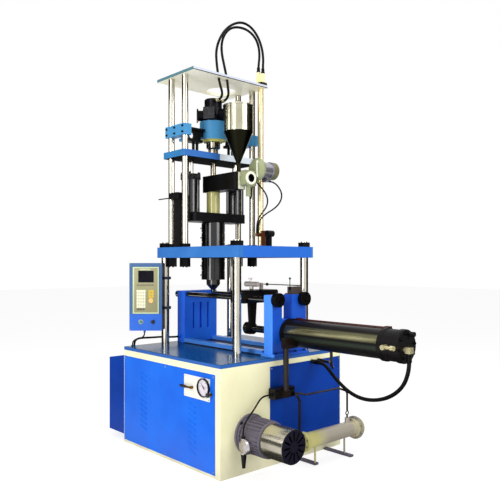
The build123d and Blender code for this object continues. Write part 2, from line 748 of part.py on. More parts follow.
def column_nuts():
    """Nuts of both sets of columns and the cap screws of the top plate."""
    parts = []
    for x in LOWER_X:
        for y in LOWER_Y:
            bore = LOWER_THREAD + 2 * BOLT_GAP
            parts.append(hex_nut(x, y, BIG_NUT_FLATS, bore, PLATEN_TOP, PLATEN_TOP + BIG_NUT_HEIGHT))
    for x in UPPER_X:
        for y in UPPER_Y:
            collar_bore = UPPER_COLUMN + 2 * BOLT_GAP
            collar_top = PLATEN_TOP + SMALL_NUT_HEIGHT
            parts.append(hex_nut(x, y, SMALL_NUT_FLATS, collar_bore, PLATEN_TOP, collar_top))
            lock_bore = UPPER_THREAD + 2 * BOLT_GAP
            lock_bottom = PLATEN_BOTTOM - LOCK_NUT_HEIGHT
            parts.append(hex_nut(x, y, SMALL_NUT_FLATS, lock_bore, lock_bottom, PLATEN_BOTTOM))
            screw = rod_z(x, y, CAP_SCREW_HEAD, TOP_PLATE_TOP, TOP_PLATE_TOP + CAP_SCREW_HEIGHT)
            shank_end = TOP_PLATE_TOP - CAP_SCREW_LENGTH
            parts.append(screw + rod_z(x, y, CAP_SCREW, shank_end, TOP_PLATE_TOP))
    return Compound(parts)


def injection_platen():
    """Thick plate on the lower columns, with the way of the barrel."""
    x_limits = (LOWER_X[0] - PLATEN_MARGIN_X, LOWER_X[1] + PLATEN_MARGIN_X)
    y_limits = (LOWER_Y[0] - PLATEN_MARGIN_Y, LOWER_Y[1] + PLATEN_MARGIN_Y)
    z_limits = (PLATEN_BOTTOM, PLATEN_TOP)
    plate = fillet(block(x_limits, y_limits, z_limits).edges().filter_by(Axis.Z), 5)
    plate -= rod_z(AXIS_X, AXIS_Y, PLATEN_HOLE, *z_limits)
    holes = [rod_z(x, y, LOWER_THREAD + 2 * BOLT_GAP, *z_limits) for x in LOWER_X for y in LOWER_Y]
    holes += [rod_z(x, y, UPPER_THREAD + 2 * BOLT_GAP, *z_limits) for x in UPPER_X for y in UPPER_Y]
    return plate - holes


def top_plate():
    """Top plate on the guide columns, with its large opening and the two hose ways."""
    z_limits = (TOP_PLATE_BOTTOM, TOP_PLATE_TOP)
    plate = block(about(AXIS_X, TOP_PLATE_HALF_X), about(AXIS_Y, TOP_PLATE_HALF_Y), z_limits)
    plate -= rod_z(TOP_OPENING_X, TOP_OPENING_Y, TOP_OPENING, *z_limits)
    holes = [rod_z(x, y, HOSE_HOLE, *z_limits) for x, y in HOSE_HOLES]
    holes += [rod_z(x, y, CAP_SCREW + 2 * BOLT_GAP, *z_limits) for x in UPPER_X for y in UPPER_Y]
    return plate - holes


def riser_duct():
    """Duct from the platen to the top plate, the valve at its foot and the hose block above."""
    bore = DUCT_DIAMETER - 2 * SHELL
    duct = rod_z(DUCT_X, DUCT_Y, DUCT_DIAMETER, PLATEN_TOP, TOP_PLATE_BOTTOM)
    duct -= rod_z(DUCT_X, DUCT_Y, bore, PLATEN_TOP, TOP_PLATE_BOTTOM)
    foot_top = TOP_PLATE_TOP + HOSE_BLOCK_FOOT
    foot = block((-147, -49), (404, 474), (TOP_PLATE_TOP, foot_top))
    head_top = TOP_PLATE_TOP + HOSE_BLOCK_HEIGHT
    head = block((-137, -58), (416, 462), (foot_top, head_top))
    head = chamfer(head.edges().filter_by(Axis.Z), 6)
    head += rod_z(*OUTER_PORT[:2], PORT_DIAMETER, head_top, head_top + OUTER_PORT[2])
    head += rod_z(*INNER_PORT[:2], PORT_DIAMETER, head_top, head_top + INNER_PORT[2])
    edge = DUCT_X + DUCT_DIAMETER / 2
    body = block((edge + 3, edge + 67), (414, 466), VALVE_BLOCK_Z)
    body = chamfer(body.edges().filter_by(Axis.Z), 8)
    coil_x = edge + 67 + COIL_DIAMETER / 2
    coil = rod_y(coil_x, COIL_Z, COIL_DIAMETER, 404, 476)
    pedestal = block((edge + 67, edge + 103), (420, 460), (PLATEN_TOP, COIL_Z - COIL_DIAMETER / 3))
    outer_end = GEAR_CABLE_OUTER_POINTS[-1]
    inner_end = GEAR_CABLE_INNER_POINTS[-1]
    clip_x = (DUCT_X - 6, inner_end[0] + GEAR_CABLE)
    clip_y = (inner_end[1] - GEAR_CABLE, DUCT_Y - DUCT_DIAMETER / 4)
    clip_z = (outer_end[2] - CLIP_HEIGHT, outer_end[2])
    clip = block(clip_x, clip_y, clip_z)
    clip -= rod_z(DUCT_X, DUCT_Y, DUCT_DIAMETER, *clip_z)
    return Compound([duct, foot + head, body, coil + pedestal, clip])


def switch_rail():
    """Flat bar with the limit switch block and its trip pointer."""
    nut_reach = SMALL_NUT_FLATS / 2 / cos(radians(30)) + 1
    rail_x = (UPPER_X[0] + nut_reach, UPPER_X[0] + nut_reach + RAIL_WIDTH)
    rail_y = about(UPPER_Y[0], RAIL_THICKNESS / 2)
    rail = block(rail_x, rail_y, (PLATEN_TOP, RAIL_BLOCK_Z[0]))
    block_x = (UPPER_X[0] + UPPER_COLUMN / 2 + 2, UPPER_X[0] + 148)
    block_y = (UPPER_Y[0] - 46, UPPER_Y[0] + 28)
    housing = block(block_x, block_y, RAIL_BLOCK_Z)
    pointer_y = UPPER_Y[0] - UPPER_COLUMN / 2 - POINTER_DIAMETER
    pointer_x = (block_x[0] - POINTER_LENGTH, block_x[0])
    pointer = rod_x(pointer_y, RAIL_BLOCK_Z[0] + 10, POINTER_DIAMETER, *pointer_x)
    return rail + housing + pointer


def barrel():
    """Injection barrel, bored for the screw, plain at the feed throat."""
    tube = rod_z(AXIS_X, AXIS_Y, BARREL_DIAMETER, BARREL_BOTTOM, BARREL_TOP)
    return tube - rod_z(AXIS_X, AXIS_Y, SCREW_DIAMETER + 2 * RUN_GAP, BARREL_BOTTOM, BARREL_TOP)


def heater_bands():
    """Shrouded heater bands round the lower barrel, with grooves between them."""
    pitch = (HEATER_TOP - BARREL_BOTTOM) / HEATER_BANDS
    outer = HEATER_DIAMETER / 2
    groove = outer - HEATER_GROOVE
    inner = BARREL_DIAMETER / 2 + RUN_GAP
    outline = [(inner, 0)]
    for band in range(HEATER_BANDS):
        low = band * pitch
        high = low + pitch - HEATER_GROOVE
        outline += [(outer, low), (outer, high), (groove, high), (groove, low + pitch)]
    top = HEATER_BANDS * pitch
    outline = outline[:-1] + [(groove, top), (inner, top)]
    return Pos(AXIS_X, AXIS_Y, BARREL_BOTTOM) * turned(outline)


def nozzle():
    """Nozzle with its cone and channel, screwed under the barrel."""
    radius = NOZZLE_DIAMETER / 2
    bore = NOZZLE_BORE / 2
    length = NOZZLE_LENGTH
    inlet = SCREW_DIAMETER / 2
    outline = [
        (bore, 0), (NOZZLE_TIP / 2, 0), (NOZZLE_TIP / 2, 0.2 * length), (radius, 0.62 * length),
        (radius, length), (inlet, length), (bore, 0.6 * length),
    ]
    return Pos(AXIS_X, AXIS_Y, NOZZLE_END) * turned(outline)


def feed_block():
    """Feed block on the barrel: the screw passes it, and the hopper feeds it from its end."""
    z_limits = (BARREL_TOP, FEED_BLOCK_TOP)
    body = block(FEED_BLOCK_X, about(AXIS_Y, FEED_BLOCK_HALF_Y), z_limits)
    body = chamfer(body.edges().filter_by(Axis.Z), 10)
    body -= rod_z(AXIS_X, AXIS_Y, SCREW_DIAMETER + 2 * RUN_GAP, *z_limits)
    way_z = BARREL_TOP + FEED_BLOCK_HEIGHT / 2
    body -= rod_z(HOPPER_X, AXIS_Y, FEED_WAY, way_z, FEED_BLOCK_TOP)
    return body - rod_x(AXIS_Y, way_z, FEED_WAY, AXIS_X, HOPPER_X + FEED_WAY / 2)


def feed_plate():
    """Plate clamped round the barrel; the injection cylinders stand on it."""
    x_limits = about(AXIS_X, FEED_PLATE_HALF_X)
    plate = block(x_limits, about(AXIS_Y, FEED_PLATE_HALF_Y), FEED_PLATE_Z)
    plate = fillet(plate.edges().filter_by(Axis.Z), 20)
    return plate - rod_z(AXIS_X, AXIS_Y, BARREL_DIAMETER + 2 * RUN_GAP, *FEED_PLATE_Z)


def cylinder_places():
    """Centres of the two injection cylinders, on a diagonal through the barrel."""
    return [
        (AXIS_X - CYLINDER_OFFSET_X, AXIS_Y - CYLINDER_OFFSET_Y),
        (AXIS_X + CYLINDER_OFFSET_X, AXIS_Y + CYLINDER_OFFSET_Y),
    ]


def injection_cylinders():
    """Two hydraulic cylinders, each with an end cap, a bored tube and a square head."""
    cylinders = []
    bottom = FEED_PLATE_Z[1]
    top = bottom + CYLINDER_HEIGHT
    head_bottom = top - CYLINDER_HEAD
    for x, y in cylinder_places():
        cylinder = rod_z(x, y, CYLINDER_DIAMETER, bottom, head_bottom)
        cylinder -= rod_z(x, y, CYLINDER_BORE, bottom + CYLINDER_CAP, head_bottom)
        half = CYLINDER_HEAD_SIZE / 2
        head = block(about(x, half), about(y, half), (head_bottom, top))
        head = chamfer(head.edges().filter_by(Axis.Z), 10)
        cylinders.append(cylinder + head - rod_z(x, y, CYLINDER_ROD + 2 * RUN_GAP, head_bottom, top))
    return Compound(cylinders)


def injection_rods():
    """Piston rods of the injection cylinders, with the pistons, under the thrust plate."""
    rods = []
    for x, y in cylinder_places():
        rod = rod_z(x, y, CYLINDER_ROD, ROD_END, THRUST_BOTTOM)
        rods.append(rod + rod_z(x, y, CYLINDER_BORE - 1, ROD_END, ROD_END + CYLINDER_ROD / 2))
    return Compound(rods)


def hopper():
    """Spun sheet hopper: cylinder, cone, neck and a foot flange on the feed block."""
    sheet = HOPPER_SHEET
    rim = HOPPER_DIAMETER / 2
    outlet = HOPPER_OUTLET / 2
    neck = HOPPER_NECK / 2
    flange = HOPPER_FLANGE / 2
    outer = [
        (neck - sheet, FEED_BLOCK_TOP), (flange, FEED_BLOCK_TOP), (flange, FEED_BLOCK_TOP + 8),
        (neck, FEED_BLOCK_TOP + 8), (neck, HOPPER_CONE_BOTTOM - 30), (outlet, HOPPER_CONE_BOTTOM),
        (rim, HOPPER_CYLINDER_BOTTOM), (rim, HOPPER_RIM - 10), (rim + 5, HOPPER_RIM - 10),
        (rim + 5, HOPPER_RIM), (rim - sheet, HOPPER_RIM),
    ]
    inner = [
        (rim - sheet, HOPPER_CYLINDER_BOTTOM), (outlet - sheet, HOPPER_CONE_BOTTOM),
        (neck - sheet, HOPPER_CONE_BOTTOM - 30),
    ]
    return Pos(HOPPER_X, AXIS_Y, 0) * turned(outer + inner)


def gear_unit():
    """Feed drive: worm box with its open eye, gear housing, motor and end cap."""
    box_x = (FEED_BLOCK_X[1] + GEAR_SPIGOT, FEED_BLOCK_X[1] + GEAR_SPIGOT + GEAR_BOX_LENGTH)
    half = GEAR_BOX_SIZE / 2
    box = block(box_x, about(GEAR_BOX_Y, half), about(GEAR_BOX_Z, half))
    box = chamfer(box.edges().filter_by(Axis.X), 12)
    box += rod_x(GEAR_BOX_Y, GEAR_BOX_Z, 0.84 * GEAR_BOX_SIZE, box_x[1], box_x[1] + 12)
    box -= rod_x(GEAR_BOX_Y, GEAR_BOX_Z, 0.54 * GEAR_BOX_SIZE, box_x[1] - 30, box_x[1] + 12)
    box += rod_x(AXIS_Y + 18, GEAR_BOX_Z, 60, FEED_BLOCK_X[1], box_x[0])
    axis_x = (box_x[0] + box_x[1]) / 2
    start = GEAR_BOX_Y + half
    housing_mid = GEAR_HOUSING_END - 20
    drive = [
        (0, start), (0.36 * GEAR_HOUSING, start), (GEAR_HOUSING / 2, start + 30),
        (GEAR_HOUSING / 2, housing_mid), (GEAR_HOUSING / 2 - 8, GEAR_HOUSING_END),
        (0, GEAR_HOUSING_END),
    ]
    motor = [
        (0, GEAR_HOUSING_END), (GEAR_MOTOR / 2, GEAR_HOUSING_END), (GEAR_MOTOR / 2, GEAR_MOTOR_END),
        (0, GEAR_MOTOR_END),
    ]
    cap = [
        (0, GEAR_MOTOR_END), (GEAR_MOTOR / 2 + 7, GEAR_MOTOR_END),
        (GEAR_MOTOR / 2 + 7, GEAR_CAP_END - 18), (GEAR_MOTOR / 2 - 12, GEAR_CAP_END),
        (0, GEAR_CAP_END),
    ]
    place = Pos(axis_x, 0, GEAR_AXIS_Z) * Rot(-90, 0, 0)
    stub = rod_z(axis_x, GEAR_BOX_Y, GEAR_STUB, GEAR_STUB_BOTTOM, GEAR_BOX_Z - half)
    bolt_x, bolt_y = axis_x, GEAR_HOUSING_END + 40
    bolt = rod_z(bolt_x, bolt_y, 16, GEAR_AXIS_Z + GEAR_MOTOR / 2 - 4, GEAR_AXIS_Z + GEAR_MOTOR / 2 + 22)
    terminal_y = (GEAR_MOTOR_END - 0.8 * GEAR_TERMINAL, GEAR_MOTOR_END)
    terminal_z = (GEAR_AXIS_Z - GEAR_TERMINAL_DROP, GEAR_AXIS_Z)
    terminal = block(about(axis_x - 6, GEAR_TERMINAL / 2), terminal_y, terminal_z)
    body = place * turned(motor) + bolt + terminal
    outer = cable_boss(GEAR_CABLE_OUTER_POINTS, axis_x)
    inner = cable_boss(GEAR_CABLE_INNER_POINTS, axis_x)
    gears = box + stub + place * turned(drive) + inner
    return Compound([gears, body + outer, place * turned(cap)])


def cable_boss(points, axis_x):
    """Gland of a cable, from the axis of the drive to the cable's first point."""
    end = Vector(*points[0])
    start = Vector(axis_x, points[0][1], GEAR_AXIS_Z)
    inward = (Vector(*points[1]) - end).normalized()
    plane = Plane(origin=end, z_dir=inward * -1)
    length = min((start - end).length, 55)
    return extrude(plane * Circle(GEAR_CABLE * 0.85), length)


def thrust_plate():
    """Plate that slides on the guide columns and pushes the screw."""
    y_limits = (UPPER_Y[0] - THRUST_MARGIN_Y, UPPER_Y[1] + THRUST_MARGIN_Y)
    z_limits = (THRUST_BOTTOM, THRUST_TOP)
    plate = fillet(block(THRUST_X, y_limits, z_limits).edges().filter_by(Axis.Z), 5)
    guides = [rod_z(x, y, UPPER_COLUMN + 2 * RUN_GAP, *z_limits) for x in UPPER_X for y in UPPER_Y]
    return plate - guides - rod_z(AXIS_X, AXIS_Y, SCREW_SHAFT + 2 * RUN_GAP, *z_limits)


def motor_carriage():
    """Cast carriage: drum, two webbed arms, two clamp blocks on the columns, spacer rods."""
    casting = rod_z(AXIS_X, AXIS_Y, DRUM_DIAMETER, *DRUM_Z)
    for side, column_y in ((-1, UPPER_Y[0]), (1, UPPER_Y[1])):
        casting += block(CLAMP_BLOCK_X, about(column_y, CLAMP_BLOCK_HALF_Y), CLAMP_BLOCK_Z)
        arm_y = sorted((AXIS_Y + side * DRUM_DIAMETER / 4, column_y - side * CLAMP_BLOCK_HALF_Y))
        web = block(about(AXIS_X, ARM_WEB / 2), arm_y, (ARM_Z[0] + 60, ARM_Z[1]))
        low_y = sorted((AXIS_Y + side * 0.62 * DRUM_DIAMETER, arm_y[0] if side < 0 else arm_y[1]))
        low = block(about(AXIS_X, ARM_FLANGE / 2), low_y, (ARM_Z[0], ARM_Z[0] + 24))
        web_low = block(about(AXIS_X, ARM_WEB / 2), low_y, (ARM_Z[0] + 24, ARM_Z[0] + 60))
        high = block(about(AXIS_X, ARM_FLANGE / 2), arm_y, (ARM_Z[1] - 18, ARM_Z[1]))
        hole_y = (low_y[0] + low_y[1]) / 2
        hole = rod_x(hole_y, (ARM_Z[0] + ARM_Z[1]) / 2, ARM_HOLE, *about(AXIS_X, ARM_WEB))
        casting += low
        casting += web_low
        casting += web - hole
        casting += high
        casting -= hole
    casting -= [rod_z(x, y, UPPER_COLUMN + 2 * RUN_GAP, *CLAMP_BLOCK_Z) for x in UPPER_X for y in UPPER_Y]
    casting -= rod_z(AXIS_X, AXIS_Y, DRUM_BORE, *DRUM_Z)
    flange = rod_z(AXIS_X, AXIS_Y, BEARING_FLANGE, BEARING_BOTTOM, DRUM_Z[0])
    flange -= rod_z(AXIS_X, AXIS_Y, MOTOR_SHAFT + 2 * RUN_GAP, BEARING_BOTTOM, DRUM_Z[0])
    spacers = [
        rod_z(AXIS_X + x, AXIS_Y + y, SPACER_DIAMETER, THRUST_TOP, ARM_Z[0])
        for x in (-SPACER_X / 2, SPACER_X / 2) for y in (-SPACER_Y, SPACER_Y)
    ]
    return Compound([casting, flange] + spacers)


def hydraulic_motor():
    """Radial piston motor: five cylinders round a body, and the port block on top."""
    base = DRUM_Z[1]
    middle = base + STAR_HEIGHT / 2
    body = rod_z(0, 0, STAR_BODY, base, STAR_TOP)
    cylinder = rod_x(0, middle, STAR_CYLINDER, 0, STAR_REACH - 14)
    cap = block((STAR_REACH - 14, STAR_REACH), about(0, STAR_CAP / 2), about(middle, STAR_CAP / 2))
    for index in range(STAR_CYLINDERS):
        turn = Rot(0, 0, 360 / STAR_CYLINDERS * index + 18)
        body += turn * (cylinder + cap)
    motor = Pos(AXIS_X, AXIS_Y, 0) * body
    ports_top = STAR_TOP + PORT_BLOCK_HEIGHT
    block_top = rod_z(AXIS_X, AXIS_Y, PORT_BLOCK_DIAMETER, STAR_TOP, ports_top)
    block_top = chamfer(block_top.edges().sort_by(Axis.Z)[-1], 8)
    for y in PORT_Y:
        block_top += rod_x(y, PORT_Z, PORT_DIAMETER, AXIS_X, AXIS_X + PORT_BLOCK_REACH)
    return Compound([motor, block_top])


def screw():
    """Plasticising screw with its tip, its shaft through the thrust plate and the coupling."""
    low_end = FEED_BLOCK_TOP - 10
    shaft_top = THRUST_TOP + RUN_GAP
    coupling_top = BEARING_BOTTOM - RUN_GAP
    radius = SCREW_DIAMETER / 2
    outline = [
        (0, SCREW_TIP), (radius, SCREW_TIP + SCREW_DIAMETER), (radius, low_end),
        (SCREW_SHAFT / 2, low_end), (SCREW_SHAFT / 2, shaft_top), (COUPLING_NECK / 2, shaft_top),
        (COUPLING_NECK / 2, shaft_top + 55), (COUPLING_DIAMETER / 2, shaft_top + 68),
        (COUPLING_DIAMETER / 2, coupling_top), (MOTOR_SHAFT / 2, coupling_top),
        (MOTOR_SHAFT / 2, DRUM_Z[1] - 4), (0, DRUM_Z[1] - 4),
    ]
    return Pos(AXIS_X, AXIS_Y, 0) * turned(outline)


def fixed_clamp_platen():
    """Fixed clamp platen with its mould slots, tie bar bores and the cable socket."""
    z_limits = (BED, FIXED_TOP)
    platen = block(FIXED_X, about(AXIS_Y, FIXED_HALF_Y), z_limits)
    platen = chamfer(platen.edges().filter_by(Axis.Z), 3)
    for offset, width, depth in SLOT_OFFSETS:
        slot_x = (FIXED_X[1] - depth, FIXED_X[1])
        platen -= block(slot_x, about(AXIS_Y + offset, width / 2), SLOT_Z)
    for side in (-1, 1):
        bore = TIE_BAR + 2 * BOLT_GAP
        platen -= rod_x(AXIS_Y + side * TIE_HALF_Y, TIE_Z, bore, *FIXED_X)
    face = AXIS_Y - FIXED_HALF_Y
    return platen + rod_y(PLUG_X, PLUG_Z, PLUG_DIAMETER, face - PLUG_LENGTH, face)


def clamp_bed():
    """Two bed rails between the platens and the drip tray between them."""
    x_limits = (FIXED_X[1], FOOT_X[0])
    outer = FIXED_HALF_Y + 4
    parts = []
    for low, high in ((-outer, -outer + RAIL_BED_WIDTH), (outer - RAIL_BED_WIDTH, outer)):
        y_limits = (AXIS_Y + low, AXIS_Y + high)
        parts.append(block(x_limits, y_limits, (BED, BED + RAIL_BED_HEIGHT)))
    tray = block(x_limits, about(AXIS_Y, outer - RAIL_BED_WIDTH), (BED, BED + TRAY_HEIGHT))
    return Compound(parts + [tray])


def cylinder_platen():
    """Notched platen on a wide foot; it carries the clamp cylinder and the tie bar nuts."""
    platen = block(MOVING_X, about(AXIS_Y, MOVING_HALF_Y), (BED, MOVING_TOP))
    platen = chamfer(platen.edges().filter_by(Axis.Z), 3)
    platen += block(FOOT_X, about(AXIS_Y, FOOT_HALF_Y), (BED, BED + FOOT_HEIGHT))
    platen -= block(MOVING_X, NOTCH_Y, (NOTCH_BOTTOM, MOVING_TOP))
    platen -= rod_x(AXIS_Y, CLAMP_Z, CLAMP_ROD + 4, *MOVING_X)
    for side in (-1, 1):
        bore = TIE_BAR + 2 * BOLT_GAP
        platen -= rod_x(AXIS_Y + side * TIE_HALF_Y, TIE_Z, bore, *MOVING_X)
    return platen


def tie_bars():
    """Two tie bars with forged heads behind the fixed platen."""
    bars = []
    for side in (-1, 1):
        y = AXIS_Y + side * TIE_HALF_Y
        bar = rod_x(y, TIE_Z, TIE_BAR, FIXED_X[0], TIE_END)
        bars.append(bar + rod_x(y, TIE_Z, TIE_HEAD, FIXED_X[0] - TIE_HEAD_LENGTH, FIXED_X[0]))
    return Compound(bars)


def tie_bar_nuts():
    """Round nuts with four spanner holes on the ends of the tie bars."""
    nuts = []
    x_limits = (MOVING_X[1], MOVING_X[1] + TIE_NUT_LENGTH)
    for side in (-1, 1):
        y = AXIS_Y + side * TIE_HALF_Y
        nut = rod_x(y, TIE_Z, TIE_NUT, *x_limits)
        nut = chamfer(nut.edges().sort_by(Axis.X)[-1], 3)
        nut -= rod_x(y, TIE_Z, TIE_BAR + 2 * BOLT_GAP, *x_limits)
        hole = rod_x(0.37 * TIE_NUT, 0, 10, x_limits[1] - 15, x_limits[1])
        nuts.append(nut - [Pos(0, y, TIE_Z) * Rot(90 * quarter, 0, 0) * hole for quarter in range(4)])
    return Compound(nuts)


def crosshead():
    """Crosshead on the tie bars with its arm, the relief valve and the trip rod."""
    body = block(CROSS_X, about(AXIS_Y, CROSS_HALF_Y), CROSS_Z)
    body = chamfer(body.edges().filter_by(Axis.Y), CROSS_CHAMFER)
    for side in (-1, 1):
        body -= rod_x(AXIS_Y + side * TIE_HALF_Y, TIE_Z, TIE_BAR + 2 * RUN_GAP, *CROSS_X)
    outline = Polyline(
        (AXIS_Y - 42, CROSS_Z[0]), (AXIS_Y + 42, CROSS_Z[0]), (AXIS_Y + 26, CLAMP_Z),
        (AXIS_Y - 26, CLAMP_Z), close=True,
    )
    arm = extrude(Plane.YZ.offset(ARM_X[0]) * make_face(outline), ARM_X[1] - ARM_X[0])
    arm += rod_x(AXIS_Y, CLAMP_Z, ARM_EYE, *ARM_X)
    body += arm - rod_x(AXIS_Y, CLAMP_Z, CLAMP_ROD + 2 * BOLT_GAP, *ARM_X)
    valve_z = CROSS_Z[1] + RELIEF_FOOT + RELIEF_DIAMETER / 2
    valve = rod_x(AXIS_Y, valve_z, RELIEF_DIAMETER, *RELIEF_X)
    valve += rod_z(CROSS_X[0] + 50, AXIS_Y, RELIEF_DIAMETER * 0.8, CROSS_Z[1], valve_z)
    valve += rod_z(RELIEF_X[0] + 60, AXIS_Y, RELIEF_KNOB / 2, valve_z, valve_z + 38)
    knob_z = (valve_z + 38, valve_z + 52)
    knob = rod_z(RELIEF_X[0] + 60, AXIS_Y, RELIEF_KNOB, *knob_z)
    post = block(about(TRIP_X[0] + 7, 12), about(TRIP_Y, 12), (CROSS_Z[1], TRIP_Z + 10))
    trip = rod_x(TRIP_Y, TRIP_Z, TRIP_DIAMETER, TRIP_X[0] + 19, TRIP_X[1])
    trip += Pos(TRIP_BALL_X, TRIP_Y, TRIP_Z) * Sphere(TRIP_BALL / 2)
    return Compound([body, valve, knob, post + trip])


def clamp_rod():
    """Clamp rod with its drilled mould disc and the piston inside the cylinder."""
    disc = rod_x(AXIS_Y, CLAMP_Z, CLAMP_DISC, *CLAMP_DISC_X)
    disc = chamfer(disc.edges().sort_by(Axis.X)[0], 3)
    rod = rod_x(AXIS_Y, CLAMP_Z, CLAMP_ROD, CLAMP_DISC_X[1], CLAMP_PISTON_X[1])
    piston = rod_x(AXIS_Y, CLAMP_Z, CYL_BORE - 2 * PISTON_GAP, *CLAMP_PISTON_X)
    hole = rod_x(CLAMP_BOLT_CIRCLE / 2, 0, CLAMP_BOLT_HOLE, *CLAMP_DISC_X)
    holes = [
        Pos(0, AXIS_Y, CLAMP_Z) * Rot(360 / CLAMP_BOLTS * (index + 0.5), 0, 0) * hole
        for index in range(CLAMP_BOLTS)
    ]
    return disc - holes + rod + piston


def clamp_cylinder():
    """Cylinder barrel with its gland flange on the platen."""
    flange_end = MOVING_X[1] + CYL_FLANGE_THICKNESS
    cylinder = rod_x(AXIS_Y, CLAMP_Z, CYL_FLANGE, MOVING_X[1], flange_end)
    cylinder += rod_x(AXIS_Y, CLAMP_Z, CYL_BARREL, flange_end, CYL_BARREL_END)
    cylinder -= rod_x(AXIS_Y, CLAMP_Z, CYL_BORE, flange_end, CYL_BARREL_END)
    return cylinder - rod_x(AXIS_Y, CLAMP_Z, CLAMP_ROD + 2 * RUN_GAP, MOVING_X[1], flange_end)


def cylinder_end_cap():
    """End cap of the clamp cylinder with a groove and a turned step."""
    radius = CYL_FLANGE / 2
    length = CYL_CAP_END - CYL_BARREL_END
    groove = radius - CYL_CAP_GROOVE
    outline = [
        (0, 0), (radius, 0), (radius, 0.16 * length), (groove, 0.2 * length),
        (groove, 0.72 * length), (radius, 0.76 * length), (radius, 0.95 * length),
        (radius - 6, length), (0, length),
    ]
    return Pos(CYL_BARREL_END, AXIS_Y, CLAMP_Z) * Rot(0, 90, 0) * turned(outline)


def hydraulic_fittings():
    """Fittings of the end cap: the brass check valve, the hose elbow and the top plug."""
    groove_radius = CYL_FLANGE / 2 - CYL_CAP_GROOVE
    side_y = AXIS_Y - groove_radius
    brass_y = side_y - BRASS_REACH
    brass = rod_y(BRASS_X[0], CLAMP_Z, BRASS_NUT, brass_y - BRASS_NUT / 2, AXIS_Y)
    brass -= rod_x(AXIS_Y, CLAMP_Z, 2 * groove_radius, CYL_BARREL_END, CYL_CAP_END)
    brass += rod_x(brass_y, CLAMP_Z, BRASS_DIAMETER, *BRASS_X)
    brass += rod_x(brass_y, CLAMP_Z, BRASS_NUT, BRASS_X[1] - 26, BRASS_X[1])
    x, y, z = HOSE_START
    half = ELBOW_SIZE / 2
    elbow = block(about(x, half), about(y, half), about(z, half))
    elbow += rod_x(y, z, ELBOW_SIZE * 0.7, CYL_CAP_END, x)
    plug = rod_x(AXIS_Y + 30, CLAMP_Z + 82, 34, CYL_CAP_END, CYL_CAP_END + 42)
    bulkheads = [
        rod_x(y, BULKHEAD_Z, BULKHEAD_DIAMETER, END_FACE, END_FACE + BULKHEAD_LENGTH)
        for y in BULKHEAD_Y
    ]
    return Compound([brass, elbow, plug] + bulkheads)


def switch_box():
    """Limit switch box on its bracket, over the cylinder platen."""
    bracket_x = (MOVING_X[0] + 5, MOVING_X[1] - 5)
    bracket = block(bracket_x, SWITCH_Y, (MOVING_TOP, SWITCH_Z[0]))
    box = block(SWITCH_X, SWITCH_Y, SWITCH_Z)
    box = fillet(box.edges().filter_by(Axis.Z), 4)
    pin_way = rod_y(LEVER_X, LEVER_Z, LEVER_ROD + 2 * RUN_GAP, SWITCH_Y[0], SWITCH_Y[0] + 20)
    return bracket + box - pin_way


def limit_lever():
    """Hand lever of the switch box: hub, pivot pin, rod and ball."""
    face = SWITCH_Y[0] - RUN_GAP
    hub_y = (face - LEVER_ROD - 4, face)
    lever = rod_y(LEVER_X, LEVER_Z, LEVER_HUB, *hub_y)
    lever += rod_y(LEVER_X, LEVER_Z, LEVER_ROD, face, SWITCH_Y[0] + 18)
    rod_centre = (hub_y[0] + hub_y[1]) / 2
    lever += rod_z(LEVER_X, rod_centre, LEVER_ROD, LEVER_Z, LEVER_Z + LEVER_LENGTH)
    return lever + Pos(LEVER_X, rod_centre, LEVER_Z + LEVER_LENGTH) * Sphere(LEVER_BALL / 2)


def clamp_pipe(points, diameter, radius):
    """Bend a rigid pipe with one bend radius."""
    return tube_along(points, diameter, [radius] * (len(points) - 2))[0]


